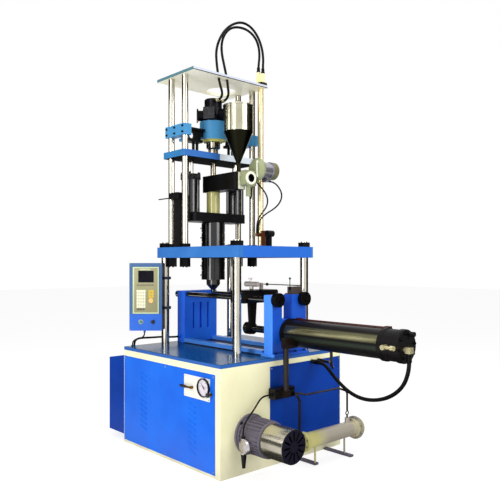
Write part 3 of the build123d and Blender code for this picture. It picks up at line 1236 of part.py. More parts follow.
def hydraulic_pipes():
    """Steel pipes: riser of the manifold, top pipe, cooler feed and return, drop pipe."""
    half = RISER_BLOCK / 2
    elbow_z = about((MANIFOLD_Z[0] + MANIFOLD_Z[1]) / 2, half)
    riser = block((MANIFOLD_X, MANIFOLD_X + RISER_BLOCK), about(RISER_Y, half), elbow_z)
    riser += rod_z(RISER_X, RISER_Y, RISER_DIAMETER, elbow_z[1], RISER_TOP)
    port = block((RISER_X - half, RISER_X + half), (RISER_Y - half, AXIS_Y), (RISER_TOP, RISER_PORT_TOP))
    barrel_way = rod_x(AXIS_Y, CLAMP_Z, CYL_BARREL, RISER_X - half, RISER_X + half)
    port = port - barrel_way - block((RISER_X - half, RISER_X + half), (0, AXIS_Y), (0, CLAMP_Z))
    riser += port
    top_y = AXIS_Y + TOP_PIPE_OFFSET_Y
    top_z = CLAMP_Z + TOP_PIPE_OFFSET_Z
    flange_end = MOVING_X[1] + CYL_FLANGE_THICKNESS
    top = rod_x(top_y, top_z, 25, flange_end + 20, CYL_BARREL_END - 20)
    for foot_x in (flange_end, CYL_BARREL_END - 40):
        foot = block((foot_x, foot_x + 40), about(top_y, 17), (top_z - 40, top_z + 17))
        top += foot - rod_x(AXIS_Y, CLAMP_Z, CYL_BARREL, foot_x, foot_x + 40)
    feed_points = [
        (MANIFOLD_X - FEED_INSET, MANIFOLD_Y[1], 530), (MANIFOLD_X - FEED_INSET, 80, 530),
        (MANIFOLD_X + 5, 150, 514), (COOLER_X - 24, 422, 542),
        (COOLER_X, EYE_Y, 510), (COOLER_X, EYE_Y, EYE_Z + EYE_RING + EYE_WIRE / 2),
    ]
    feed = clamp_pipe(feed_points, 16, 34)
    ring = Pos(COOLER_X, EYE_Y, EYE_Z) * Rot(0, 90, 0) * Torus(EYE_RING, EYE_WIRE / 2)
    cooler_top = COOLER_Z + COOLER_DIAMETER / 2
    stem = rod_z(COOLER_X, EYE_Y, 14, cooler_top + 38, EYE_Z - EYE_RING)
    feed += ring + stem
    return_points = [
        (MANIFOLD_X, 0, 545), (MANIFOLD_X + RETURN_REACH, 0, 545),
        (COOLER_X - RETURN_OFFSET, 28, 490), (COOLER_X - RETURN_OFFSET, 26, COOLER_Z),
        (COOLER_X - COOLER_DIAMETER / 2, 26, COOLER_Z),
    ]
    back = clamp_pipe(return_points, 20, 22)
    drop_points = [
        (DROP_X, AXIS_Y, CLAMP_Z - CYL_BARREL / 2), (DROP_X, AXIS_Y, BULKHEAD_Z + DROP_RISE),
        (END_FACE + DROP_KNEE_REACH, DROP_KNEE_Y, BULKHEAD_Z + DROP_KNEE_RISE),
        (END_FACE + DROP_RUN, BULKHEAD_Y[1], BULKHEAD_Z),
        (END_FACE + BULKHEAD_LENGTH, BULKHEAD_Y[1], BULKHEAD_Z),
    ]
    drop = clamp_pipe(drop_points, 22, 50)
    return Compound([riser, top, feed, back, drop])


def valve_manifold():
    """Black valve manifold on the end panel, with the cable gland at its end."""
    body = block((END_FACE, MANIFOLD_X), MANIFOLD_Y, MANIFOLD_Z)
    body = chamfer(body.edges().filter_by(Axis.Y), 4)
    x, y, z = MOTOR_CABLE_POINTS[-1]
    return body + rod_y(x, z, 2 * MOTOR_CABLE, y, MANIFOLD_Y[0])


def motor_body():
    """Flanged motor body with axial cooling fins between two end shields."""
    flange_end = BASE_X + MOTOR_FLANGE_THICKNESS
    body = rod_x(MOTOR_Y, MOTOR_Z, MOTOR_FLANGE, BASE_X, flange_end)
    body += rod_x(MOTOR_Y, MOTOR_Z, MOTOR_CORE, flange_end, MOTOR_BODY_END)
    body += rod_x(MOTOR_Y, MOTOR_Z, MOTOR_FIN_DIAMETER, flange_end, flange_end + MOTOR_SHIELD)
    body += rod_x(MOTOR_Y, MOTOR_Z, MOTOR_FIN_DIAMETER - 8, MOTOR_BODY_END - MOTOR_SHIELD, MOTOR_BODY_END)
    fin_x = (flange_end + MOTOR_SHIELD, MOTOR_BODY_END - MOTOR_SHIELD)
    fin = block(fin_x, (MOTOR_CORE / 2 - 4, MOTOR_FIN_DIAMETER / 2), about(0, MOTOR_FIN_THICKNESS / 2))
    place = Pos(0, MOTOR_Y, MOTOR_Z)
    body += [place * Rot(360 / MOTOR_FINS * index, 0, 0) * fin for index in range(MOTOR_FINS)]
    body -= terminal_space()
    return body - rod_x(MOTOR_Y, MOTOR_Z, FAN_SHAFT + 2 * RUN_GAP, MOTOR_BODY_END - 20, MOTOR_BODY_END)


def terminal_space():
    """Round seat of the terminal box in the side of the motor."""
    return rod_y(TERMINAL_X, TERMINAL_Z, TERMINAL_DIAMETER, TERMINAL_FRONT, TERMINAL_BACK)


def motor_cowl():
    """Fan cowl with radial air slots in its end."""
    cowl = rod_x(MOTOR_Y, MOTOR_Z, COWL_DIAMETER, MOTOR_BODY_END, COWL_END)
    cowl = chamfer(cowl.edges().sort_by(Axis.X)[-1], 5)
    inner = COWL_DIAMETER - 2 * SHELL
    cowl -= rod_x(MOTOR_Y, MOTOR_Z, inner - 6, MOTOR_BODY_END, COWL_END - SHELL)
    slot = block((COWL_END - 2 * SHELL, COWL_END), (COWL_SLOT_INNER, COWL_SLOT_OUTER),
                 about(0, COWL_SLOT_WIDTH / 2))
    place = Pos(0, MOTOR_Y, MOTOR_Z)
    return cowl - [place * Rot(360 / COWL_SLOTS * index, 0, 0) * slot for index in range(COWL_SLOTS)]


def motor_fan():
    """Fan with straight blades on the end of the motor shaft."""
    fan = rod_x(MOTOR_Y, MOTOR_Z, FAN_SHAFT, MOTOR_BODY_END - 19, FAN_X[1])
    fan += rod_x(MOTOR_Y, MOTOR_Z, FAN_HUB, *FAN_X)
    blade = block(FAN_X, (FAN_HUB / 2 - 4, FAN_DIAMETER / 2), about(0, 2.5))
    place = Pos(0, MOTOR_Y, MOTOR_Z)
    return fan + [place * Rot(360 / FAN_BLADES * index, 0, 0) * blade for index in range(FAN_BLADES)]


def motor_terminal_box():
    """Round domed terminal box with its cable gland below and the cable entry above."""
    radius = TERMINAL_DIAMETER / 2
    depth = TERMINAL_BACK - TERMINAL_FRONT
    outline = [
        (0, 0), (radius, 0), (radius, depth - TERMINAL_DOME), (0.82 * radius, depth - 4), (0, depth),
    ]
    dome = Pos(TERMINAL_X, TERMINAL_BACK, TERMINAL_Z) * Rot(90, 0, 0) * turned(outline)
    gland_y = (TERMINAL_FRONT + TERMINAL_BACK) / 2 - 4
    gland = [
        (0, GLAND_BOTTOM), (GLAND_TIP / 2, GLAND_BOTTOM), (GLAND_TOP / 2, TERMINAL_Z - radius + 6),
        (GLAND_TOP / 2, TERMINAL_Z - radius + 14), (0, TERMINAL_Z - radius + 14),
    ]
    lower = Pos(TERMINAL_X - 12, gland_y, 0) * turned(gland)
    x, y, top = MOTOR_CABLE_POINTS[0]
    upper = rod_z(x, y, 2 * MOTOR_CABLE, TERMINAL_Z, top)
    return dome + lower + upper


def oil_cooler():
    """Shell and tube cooler with its bonnets, on legs with floor bars."""
    shell = rod_y(COOLER_X, COOLER_Z, COOLER_DIAMETER, *COOLER_Y)
    near = COOLER_Y[0]
    shell += rod_y(COOLER_X, COOLER_Z, COOLER_BONNET, near, near + COOLER_BONNET_LENGTH)
    far = COOLER_Y[1]
    shell += rod_y(COOLER_X, COOLER_Z, COOLER_BONNET, far - COOLER_BONNET_LENGTH, far)
    shell += rod_y(COOLER_X, COOLER_Z, COOLER_FLANGE, far, far + COOLER_FLANGE_THICKNESS)
    end = far + COOLER_FLANGE_THICKNESS
    shell += rod_y(COOLER_X, COOLER_Z, COOLER_BONNET, end, end + COOLER_BONNET_LENGTH)
    top = COOLER_Z + COOLER_DIAMETER / 2
    shell += rod_z(COOLER_X, EYE_Y, 40, COOLER_Z, top + 38)
    stands = []
    for y, (left, right) in zip(STAND_Y, STAND_REACH):
        x_limits = (COOLER_X + left, COOLER_X + right)
        bar = block(x_limits, about(y, STAND_BAR_WIDTH / 2), (0, STAND_BAR_HEIGHT))
        leg = rod_z(COOLER_X, y, STAND_LEG, STAND_BAR_HEIGHT, COOLER_Z)
        leg -= rod_y(COOLER_X, COOLER_Z, COOLER_DIAMETER, *about(y, STAND_LEG))
        stands.append(bar + leg)
    return Compound([shell] + stands)


def control_box():
    """Control box: tray housing, front plate with its bezel, straps and the cable gland."""
    half = BOX_WIDTH / 2
    sides = about(BOX_SIDE, half)
    plate_back = -(BOX_FRONT - BOX_DOOR)
    housing = block(sides, (plate_back, -BOX_BACK), BOX_Z)
    inner_sides = (sides[0] + BOX_SHEET, sides[1] - BOX_SHEET)
    inner_z = (BOX_Z[0] + BOX_SHEET, BOX_Z[1] - BOX_SHEET)
    housing -= block(inner_sides, (plate_back, -BOX_BACK - BOX_SHEET), inner_z)
    housing += rod_z(BOX_GLAND_SIDE, -(BOX_BACK + BOX_DEPTH / 2), BOX_GLAND, BOX_Z[0] - BOX_GLAND_LENGTH, BOX_Z[0])
    for z in STRAP_Z:
        z_limits = about(z, STRAP_HEIGHT / 2)
        strap = rod_z(0, 0, STRAP_DIAMETER, *z_limits)
        strap += block((sides[1] - 44, -4), (-BOX_BACK, -BOX_BACK + 26), z_limits)
        housing += strap - rod_z(0, 0, LOWER_COLUMN + 2 * RUN_GAP, *z_limits)
    housing -= block(inner_sides, (plate_back, -BOX_BACK - BOX_SHEET), inner_z)
    front = block(sides, (-BOX_FRONT, plate_back), BOX_Z)
    front += block(BEZEL_SIDE, (-BOX_FRONT - BEZEL_HEIGHT, -BOX_FRONT), BEZEL_Z)
    front -= block(SCREEN_SIDE, (-BOX_FRONT - BEZEL_HEIGHT, -BOX_FRONT - SCREEN_DEPTH), SCREEN_Z)
    for side in (BUTTON_SIDE, KNOB_SIDE):
        front -= rod_y(side, CONTROL_Z, CONTROL_HOLE, -BOX_FRONT, plate_back)
    place = box_place(0, 0, 0)
    return Compound([place * housing, place * front])


def start_button():
    """Push button: a wide head in front of its stem."""
    face = -BOX_FRONT
    head = rod_y(BUTTON_SIDE, CONTROL_Z, BUTTON_DIAMETER, face - BUTTON_TRAVEL - 9, face - BUTTON_TRAVEL - 1)
    stem_end = face + BOX_DOOR + 12
    stem = rod_y(BUTTON_SIDE, CONTROL_Z, CONTROL_HOLE - 2 * RUN_GAP, face - BUTTON_TRAVEL - 1, stem_end)
    return box_place(0, 0, 0) * (head + stem)


def selector_knob():
    """Selector knob with a grip bar across its face."""
    face = -BOX_FRONT - RUN_GAP
    knob = rod_y(KNOB_SIDE, CONTROL_Z, KNOB_DIAMETER, face - KNOB_HEIGHT / 2, face)
    grip = block(about(KNOB_SIDE, 5), (face - KNOB_HEIGHT, face - KNOB_HEIGHT / 2), about(CONTROL_Z, 15))
    stem = rod_y(KNOB_SIDE, CONTROL_Z, CONTROL_HOLE - 2 * RUN_GAP, face, -BOX_FRONT + BOX_DOOR + 12)
    return box_place(0, 0, 0) * (knob + grip + stem)


PARTS = {
    "base_frame": base_frame, "front_panel": front_panel, "end_panel": end_panel,
    "base_slab": base_slab, "side_cabinet": side_cabinet, "gauge_plate": gauge_plate,
    "pressure_gauge": pressure_gauge, "gauge_needle": gauge_needle, "gauge_valve": gauge_valve,
    "gauge_handle": gauge_handle, "lower_columns": lower_columns, "upper_columns": upper_columns,
    "column_nuts": column_nuts, "injection_platen": injection_platen, "top_plate": top_plate,
    "riser_duct": riser_duct, "switch_rail": switch_rail, "barrel": barrel,
    "heater_bands": heater_bands, "nozzle": nozzle, "feed_block": feed_block,
    "feed_plate": feed_plate, "injection_cylinders": injection_cylinders,
    "injection_rods": injection_rods, "hopper": hopper, "gear_unit": gear_unit,
    "thrust_plate": thrust_plate, "motor_carriage": motor_carriage,
    "hydraulic_motor": hydraulic_motor, "screw": screw,
    "fixed_clamp_platen": fixed_clamp_platen, "clamp_bed": clamp_bed,
    "cylinder_platen": cylinder_platen, "tie_bars": tie_bars, "tie_bar_nuts": tie_bar_nuts,
    "crosshead": crosshead, "clamp_rod": clamp_rod, "clamp_cylinder": clamp_cylinder,
    "cylinder_end_cap": cylinder_end_cap, "hydraulic_fittings": hydraulic_fittings,
    "switch_box": switch_box, "limit_lever": limit_lever, "hydraulic_pipes": hydraulic_pipes,
    "valve_manifold": valve_manifold, "motor_body": motor_body, "motor_cowl": motor_cowl,
    "motor_fan": motor_fan, "motor_terminal_box": motor_terminal_box, "oil_cooler": oil_cooler,
    "control_box": control_box, "start_button": start_button, "selector_knob": selector_knob,
}

CORDS = {
    "motor_hose_outer": (MOTOR_HOSE_OUTER_POINTS, MOTOR_HOSE),
    "motor_hose_inner": (MOTOR_HOSE_INNER_POINTS, MOTOR_HOSE),
    "cylinder_hose": (CYLINDER_HOSE_POINTS, CYLINDER_HOSE),
    "gear_cable_outer": (GEAR_CABLE_OUTER_POINTS, GEAR_CABLE),
    "gear_cable_inner": (GEAR_CABLE_INNER_POINTS, GEAR_CABLE),
    "control_cable": (CONTROL_CABLE_POINTS, CONTROL_CABLE),
    "clamp_cable": (CLAMP_CABLE_POINTS, CLAMP_CABLE),
    "motor_cable": (MOTOR_CABLE_POINTS, MOTOR_CABLE),
}

for name, make in PARTS.items():
    export_step(make(), f"parts/{name}.step")

for name, (points, diameter) in CORDS.items():
    export_step(cord(name, points, diameter), f"parts/{name}.step")
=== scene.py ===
"""Looks of the vertical injection moulding machine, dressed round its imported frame.

Lengths in the classes are in millimetres, as a drawing gives them, and become metres on the bench.
The lengths of the studio are in metres.
"""
from __future__ import annotations

import logging
import math
from dataclasses import dataclass
from enum import Enum
from itertools import product

import bpy
from mathutils import Matrix, Vector

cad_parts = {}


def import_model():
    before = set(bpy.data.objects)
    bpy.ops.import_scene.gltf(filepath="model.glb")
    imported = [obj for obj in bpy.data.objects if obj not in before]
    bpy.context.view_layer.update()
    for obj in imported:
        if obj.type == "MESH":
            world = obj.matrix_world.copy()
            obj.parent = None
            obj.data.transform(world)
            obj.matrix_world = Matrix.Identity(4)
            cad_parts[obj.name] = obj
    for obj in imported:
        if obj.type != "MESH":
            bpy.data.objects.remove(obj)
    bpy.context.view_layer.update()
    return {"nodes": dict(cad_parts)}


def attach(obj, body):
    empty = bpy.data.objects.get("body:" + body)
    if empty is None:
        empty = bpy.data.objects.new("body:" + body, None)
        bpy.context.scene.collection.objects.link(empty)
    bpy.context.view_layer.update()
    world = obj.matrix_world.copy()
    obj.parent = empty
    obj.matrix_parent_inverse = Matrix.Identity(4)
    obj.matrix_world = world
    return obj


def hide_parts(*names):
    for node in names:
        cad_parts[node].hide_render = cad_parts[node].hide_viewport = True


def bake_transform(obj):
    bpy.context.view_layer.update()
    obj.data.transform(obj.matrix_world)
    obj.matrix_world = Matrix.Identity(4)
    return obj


LOG = logging.getLogger("injection_machine")
METRE = 0.001
Point = tuple[float, float, float]
Limits = tuple[float, float] | None
Sides = tuple[float, float, float, float]
Row = tuple[float, ...]
Profile = list[tuple[float, float]]
Piece = bpy.types.Object
Socket = bpy.types.NodeSocket

# Edges flatter than the first angle are shaded smooth; those sharper than the second are
# rounded. Each screw of a bolt circle stands turned from the last by the third, in degrees.
SMOOTH_ANGLE = math.radians(32)
BEVEL_ANGLE = math.radians(40)
HEAD_TURN = 17.0

# Every finish: its clear coat, its relief in metres, its broad patches to a metre, and how the
# broad and the fine pattern become shares of its shade and its roughness.
COAT_ROUGHNESS = 0.08
RELIEF_DEPTH = 0.002
PATCHES = 3.1
MOTTLE = (0.35, 0.72, 0.0, 0.75)
SPECKS = (0.55, 0.75, 0.0, 0.30)
SHINE = (0.3, 0.7)
LEAST_ROUGHNESS = 0.02

# Grime with painted shade near the floor: a lilac grey that darkens the lowest part, up to a
# height in metres, on the finishes that take it.
GRIME_AND_SHADE = (150, 142, 152)
GRIME_AND_SHADE_HEIGHT = 0.34
GRIME_AND_SHADE_ROUGHNESS = 0.8

# Half the width in millimetres over which a zone without a soft edge changes its colour.
HARD_EDGE = 0.01

# Places that several pieces share, and the turn of the control box in degrees.
BARREL_AXIS = (-318.0, 54.0)
CYLINDER_AXES = ((-358.0, -171.0), (-278.0, 279.0))
ROD_OFFSET = 52.0
BOX_PLACE = ((-524.0, -327.0, 0.0), 47.875)


class Side(Enum):
    """A direction of the machine's frame."""

    RIGHT = (1.0, 0.0, 0.0)
    BACK = (0.0, 1.0, 0.0)
    FRONT = (0.0, -1.0, 0.0)
    UP = (0.0, 0.0, 1.0)
    DOWN = (0.0, 0.0, -1.0)

    @property
    def vector(self) -> Vector:
        """Give the direction as a vector."""
        return Vector(self.value)


class Grain(Enum):
    """What the surface of a finish is made of, as the scale of its pattern along X, Y and Z."""

    EVEN = (1.0, 1.0, 1.0)
    RINGS_Z = (0.04, 0.04, 6.0)
    RINGS_X = (6.0, 0.04, 0.04)
    LINES_Z = (6.0, 6.0, 0.08)
    LINES_X = (0.08, 6.0, 6.0)


def linear(colour: Point) -> tuple[float, float, float, float]:
    """Turn a colour of 0 to 255 as a screen shows it into the renderer's linear values.

    Args:
        colour: Red, green and blue, from 0 to 255.

    Returns:
        The four linear channels, with full alpha.
    """
    shares = [channel / 255 for channel in colour]
    values = [s / 12.92 if s <= 0.04045 else ((s + 0.055) / 1.055) ** 2.4 for s in shares]
    return (*values, 1.0)


@dataclass
class Nodes:
    """Nodes of a material or of the world, with the patterns that this scene is made of."""

    tree: bpy.types.NodeTree

    def add(self, kind: str, **settings: str) -> bpy.types.Node:
        """Add a node.

        Args:
            kind: Its type, without the word before it that all shader nodes share.
            settings: Its own settings by name.

        Returns:
            The new node.
        """
        node = self.tree.nodes.new(f"ShaderNode{kind}")
        for name, value in settings.items():
            setattr(node, name, value)
        return node

    def feed(self, node: bpy.types.Node, sources: dict[str | int, object]) -> None:
        """Link inputs of a node, or set them to constants.

        Args:
            node: The node.
            sources: A socket, a number or a colour for each input.
        """
        for key, source in sources.items():
            if isinstance(source, Socket):
                self.tree.links.new(source, node.inputs[key])
            else:
                node.inputs[key].default_value = source

    def noise(self, vector: Socket, scale: float, detail: float) -> Socket:
        """Add a noise pattern.

        Args:
            vector: The coordinates that it reads.
            scale: Patches to a metre.
            detail: Layers of finer patches.

        Returns:
            The socket of its value.
        """
        node = self.add("TexNoise")
        self.feed(node, {"Vector": vector, "Scale": scale, "Detail": detail})
        return node.outputs["Fac"]

    def span(self, value: Socket, low: float, high: float, start: float, end: float) -> Socket:
        """Map a value from low and high to start and end.

        Args:
            value: The socket to read.
            low: The value that becomes start.
            high: The value that becomes end.
            start: The first result.
            end: The last result.

        Returns:
            The socket of the result.
        """
        node = self.add("MapRange")
        self.feed(node, {"Value": value, "From Min": low, "From Max": high, "To Min": start,
                         "To Max": end})
        return node.outputs["Result"]

    def combine(self, operation: str, first: Socket, second: Socket) -> Socket:
        """Reckon one value from two.

        Args:
            operation: What is done with them.
            first: One value.
            second: The other value.

        Returns:
            The socket of the result.
        """
        node = self.add("Math", operation=operation)
        self.feed(node, {0: first, 1: second})
        return node.outputs["Value"]

    def mix(self, share: Socket, first: object, second: float | tuple) -> Socket:
        """Mix two colours or two numbers by a share.

        Args:
            share: How much of the second counts.
            first: The first colour or number, or its socket.
            second: The second colour or number.

        Returns:
            The socket of the mixture.
        """
        colours = isinstance(second, tuple)
        node = self.add("Mix", data_type="RGBA" if colours else "FLOAT")
        start = 6 if colours else 2
        self.feed(node, {"Factor": share, start: first, start + 1: second})
        return node.outputs[2 if colours else 0]

    def axes(self, vector: Socket) -> bpy.types.NodeOutputs:
        """Part coordinates.

        Args:
            vector: The coordinates.

        Returns:
            The sockets X, Y and Z.
        """
        node = self.add("SeparateXYZ")
        self.feed(node, {"Vector": vector})
        return node.outputs


@dataclass(frozen=True)
class Zone:
    """Box-shaped part of a node with another colour: limits and fading edge in millimetres."""

    colour: Point
    x: Limits = None
    y: Limits = None
    z: Limits = None
    metallic: float = 0.0
    roughness: float = 0.4
    centre: Point = (0.0, 0.0, 0.0)
    turn: float = 0.0
    soft: float = HARD_EDGE

    def share(self, nodes: Nodes, place: Socket) -> Socket:
        """Tell where the zone lies.

        Args:
            nodes: The material's nodes.
            place: The coordinates.

        Returns:
            A socket that is 1 inside the zone and 0 outside it.
        """
        swing = nodes.add("Mapping", vector_type="TEXTURE")
        nodes.feed(swing, {"Vector": place, "Location": Vector(self.centre) * METRE,
                           "Rotation": (0, 0, math.radians(self.turn))})
        axes = nodes.axes(swing.outputs["Vector"])
        share = None
        for axis, limits in (("X", self.x), ("Y", self.y), ("Z", self.z)):
            for sign, limit in zip((1, -1), limits or ()):
                reach = sign * self.soft * METRE
                test = nodes.span(axes[axis], limit * METRE - reach, limit * METRE + reach,
                                  0.0, 1.0)
                share = test if share is None else nodes.combine("MULTIPLY", share, test)
        return share


@dataclass(frozen=True)
class Finish:
    """A surface finish: its colours, its shine and the small relief that a hand would feel."""

    name: str
    colour: Point
    shade: Point
    metallic: float = 0.0
    roughness: float = 0.35
    spread: float = 0.08
    grain: Grain = Grain.EVEN
    fineness: float = 60.0
    relief: float = 0.05
    specular: float = 0.22
    coat: float = 0.0
    dust_and_shade: float = 0.0
    glow: float = 0.0
    zones: tuple[Zone, ...] = ()

    def material(self) -> bpy.types.Material:
        """Build the material once and give it back each time.

        Returns:
            The node-based material.
        """
        title = f"{self.name}_finish"
        known = bpy.data.materials.get(title)
        if known:
            return known
        made = bpy.data.materials.new(title)
        made.use_nodes = True
        nodes = Nodes(made.node_tree)
        place = nodes.add("TexCoord").outputs["Object"]
        stretch = nodes.add("Mapping")
        nodes.feed(stretch, {"Vector": place, "Scale": self.grain.value})
        broad = nodes.noise(place, PATCHES, 3.0)
        fine = nodes.noise(stretch.outputs["Vector"], self.fineness, 4.0)
        colour = linear(self.colour)
        for share in (nodes.span(broad, *MOTTLE), nodes.span(fine, *SPECKS)):
            colour = nodes.mix(share, colour, linear(self.shade))
        low = max(LEAST_ROUGHNESS, self.roughness - self.spread)
        rough = nodes.span(fine, *SHINE, low, self.roughness + self.spread)
        metal = self.metallic
        # Grime with painted shade: the lowest part turns a lilac grey towards the floor.
        if self.dust_and_shade:
            grime_and_shade_share = self._grime_and_shade(nodes, place, broad)
            colour = nodes.mix(grime_and_shade_share, colour, linear(GRIME_AND_SHADE))
            rough = nodes.mix(grime_and_shade_share, rough, GRIME_AND_SHADE_ROUGHNESS)
        for zone in self.zones:
            share = zone.share(nodes, place)
            colour = nodes.mix(share, colour, linear(zone.colour))
            rough = nodes.mix(share, rough, zone.roughness)
            metal = nodes.mix(share, metal, zone.metallic)
        bump = nodes.add("Bump")
        nodes.feed(bump, {"Height": fine, "Strength": self.relief, "Distance": RELIEF_DEPTH})
        shader = nodes.tree.nodes["Principled BSDF"]
        nodes.feed(shader, {"Base Color": colour, "Roughness": rough, "Metallic": metal,
                            "Normal": bump.outputs["Normal"], "Coat Weight": self.coat,
                            "Specular IOR Level": self.specular,
                            "Coat Roughness": COAT_ROUGHNESS})
        if self.glow:
            nodes.feed(shader, {"Emission Color": linear(self.colour),
                                "Emission Strength": self.glow})
        return made

    def _grime_and_shade(self, nodes: Nodes, place: Socket, broad: Socket) -> Socket:
        """Tell where grime and painted shade darken the lowest part of the machine.

        Args:
            nodes: The material's nodes.
            place: The coordinates.
            broad: The broad pattern, which breaks the edge of the grime and shade.

        Returns:
            The socket of its share.
        """
        height = nodes.span(nodes.axes(place)["Z"], 0.0, GRIME_AND_SHADE_HEIGHT, self.dust_and_shade, 0.0)
        return nodes.combine("MULTIPLY", height, nodes.span(broad, *SHINE, 0.3, 1.0))


CREAM = Finish(
    "cream_enamel", (250, 247, 205), (238, 232, 186), roughness=0.34, coat=0.2, dust_and_shade=0.45,
    relief=0.06, fineness=160)
PANEL_BLUE = Finish(
    "panel_blue_enamel", (24, 110, 230), (16, 92, 212), roughness=0.38, specular=0.08,
    dust_and_shade=0.12, relief=0.08, fineness=220)
DEEP_BLUE = Finish(
    "deep_blue_enamel", (4, 62, 164), (2, 48, 132), roughness=0.36, specular=0.1, relief=0.08,
    fineness=220)
# The slab's sides below its top are painted a lighter blue than the top: a painted highlight along
# its edge.
SLAB_BLUE = Finish(
    "slab_blue_gloss", (8, 68, 114), (6, 54, 94), roughness=0.22, coat=0.05, specular=0.1,
    relief=0.04, fineness=120,
    zones=(Zone((46, 98, 178), z=(0, 824.5), roughness=0.35),))
CABINET_BLUE = Finish(
    "cabinet_blue_enamel", (2, 60, 160), (1, 46, 130), roughness=0.4, specular=0.03, dust_and_shade=0.1,
    relief=0.08, fineness=220)
PLATE_WHITE = Finish("plate_white", (240, 240, 232), (224, 222, 210), roughness=0.3)
GAUGE_BLACK = Finish("gauge_black", (18, 18, 20), (8, 8, 9), roughness=0.25, coat=0.3)
DIAL_WHITE = Finish("dial_white", (228, 220, 228), (216, 208, 218), roughness=0.5, spread=0.03)
INK_BLACK = Finish("ink_black", (12, 12, 12), (6, 6, 6), roughness=0.6)
NEEDLE = Finish("needle_black", (10, 10, 10), (20, 20, 20), roughness=0.4)
BRASS = Finish(
    "turned_brass", (150, 104, 38), (84, 54, 16), metallic=1.0, roughness=0.28, fineness=90,
    relief=0.08,
    zones=(Zone((22, 18, 16), x=(180, 268), z=(560, 700), metallic=0.3, soft=2),))
COLUMN_CHROME = Finish(
    "column_chrome", (214, 209, 196), (182, 175, 156), metallic=1.0, roughness=0.11,
    spread=0.04, grain=Grain.RINGS_Z, fineness=130, relief=0.02)
BAR_CHROME = Finish(
    "bar_chrome", (150, 146, 134), (92, 88, 78), metallic=1.0, roughness=0.16, spread=0.05,
    grain=Grain.RINGS_X, fineness=130, relief=0.02)
BLACK_OXIDE = Finish(
    "black_oxide", (17, 17, 19), (9, 9, 10), metallic=0.5, roughness=0.36, specular=0.15,
    fineness=140, relief=0.1)
# The platen's +X part is painted a deeper blue as painted shade, and its underside is painted near
# black as painted shade.
PLATEN_BLUE = Finish(
    "platen_blue_enamel", (62, 124, 198), (44, 104, 180), roughness=0.34, specular=0.08,
    relief=0.12, fineness=70,
    zones=(Zone((44, 108, 208), x=(100, 700), y=(-320, 460), z=(1600.5, 1691.5)),
           Zone((16, 22, 40), z=(1590, 1600.4), roughness=0.95)))
# On the thrust plate's +X face the front part is painted a darker blue as painted shade and the
# back part near white as a painted highlight; its underside is painted near black as painted
# shade.
UPPER_BLUE = Finish(
    "upper_blue_enamel", (60, 130, 188), (42, 106, 160), roughness=0.36, specular=0.08,
    relief=0.14, fineness=70,
    zones=(Zone((58, 112, 186), x=(-181, -170), y=(-400, 20)),
           Zone((228, 238, 246), x=(-181, -170), y=(20, 600)),
           Zone((4, 5, 9), z=(2460, 2470.5), roughness=0.95)))
CLAMP_BLUE = Finish(
    "clamp_blue_enamel", (34, 118, 252), (20, 92, 226), roughness=0.36, relief=0.14,
    fineness=60)
# The front of the cylinder platen, y below -133.5, is painted a lighter blue: painted light on its
# front face.
CROSS_BLUE = Finish(
    "cross_blue_enamel", (26, 92, 212), (14, 68, 180), roughness=0.36, relief=0.14,
    fineness=60,
    zones=(Zone((78, 150, 255), y=(-200, -133.5)),))
BED_BLUE = Finish(
    "bed_enamel", (84, 150, 240), (62, 126, 222), roughness=0.34, coat=0.15, relief=0.1,
    zones=(Zone((30, 21, 16), z=(0, 836.5), roughness=0.6),))
# The top plate's front edge is painted teal grey and its +X edge bluish grey: painted shade.
TOP_CREAM = Finish(
    "top_plate_enamel", (255, 252, 232), (250, 243, 204), roughness=0.34, relief=0.08,
    zones=(Zone((86, 128, 138), y=(-380, -371)),
           Zone((204, 210, 224), x=(-48.6, -40)),
           Zone((22, 18, 10), x=(-48.6, -40), z=(3160, 3175))))
RISER_CREAM = Finish(
    "riser_plating", (246, 230, 186), (222, 196, 144), metallic=0.5, roughness=0.24,
    relief=0.05, grain=Grain.LINES_Z,
    zones=(Zone((104, 54, 28), x=(-72.5, 100), z=(1690, 1860)),
           Zone((16, 15, 16), x=(-9.5, 100), z=(1690, 1860)),
           Zone((28, 22, 16), z=(3190, 3215.4), roughness=0.5),
           Zone((248, 244, 180), z=(3215.4, 3400))))
SWITCH_BLACK = Finish("switch_black", (22, 20, 20), (10, 9, 9), roughness=0.42, relief=0.1)
BARREL_STEEL = Finish(
    "barrel_steel", (44, 42, 40), (22, 21, 20), metallic=0.8, coat=1.0, grain=Grain.RINGS_Z,
    fineness=60,
    zones=(Zone((190, 184, 112), z=(2000, 2195), roughness=0.45),))
HEATER_STEEL = Finish(
    "heater_band_steel", (20, 19, 21), (10, 10, 11), metallic=0.5, roughness=0.3, coat=1.0,
    grain=Grain.LINES_Z, fineness=40, relief=0.06)
NOZZLE_STEEL = Finish(
    "nozzle_steel", (58, 55, 52), (28, 26, 25), metallic=0.8, coat=1.0, grain=Grain.RINGS_Z,
    fineness=60)
# The feed block's +X face is painted pale cream: a painted highlight.
FEED_BLACK = Finish(
    "feed_block_paint", (14, 13, 12), (8, 7, 7), roughness=0.4, relief=0.14, specular=0.12,
    zones=(Zone((232, 230, 206), x=(57.4, 60), y=(28, 120)),))
CYLINDER_BLACK = Finish(
    "cylinder_black_enamel", (24, 23, 26), (10, 10, 12), roughness=0.22, specular=0.5,
    coat=0.5, relief=0.06)
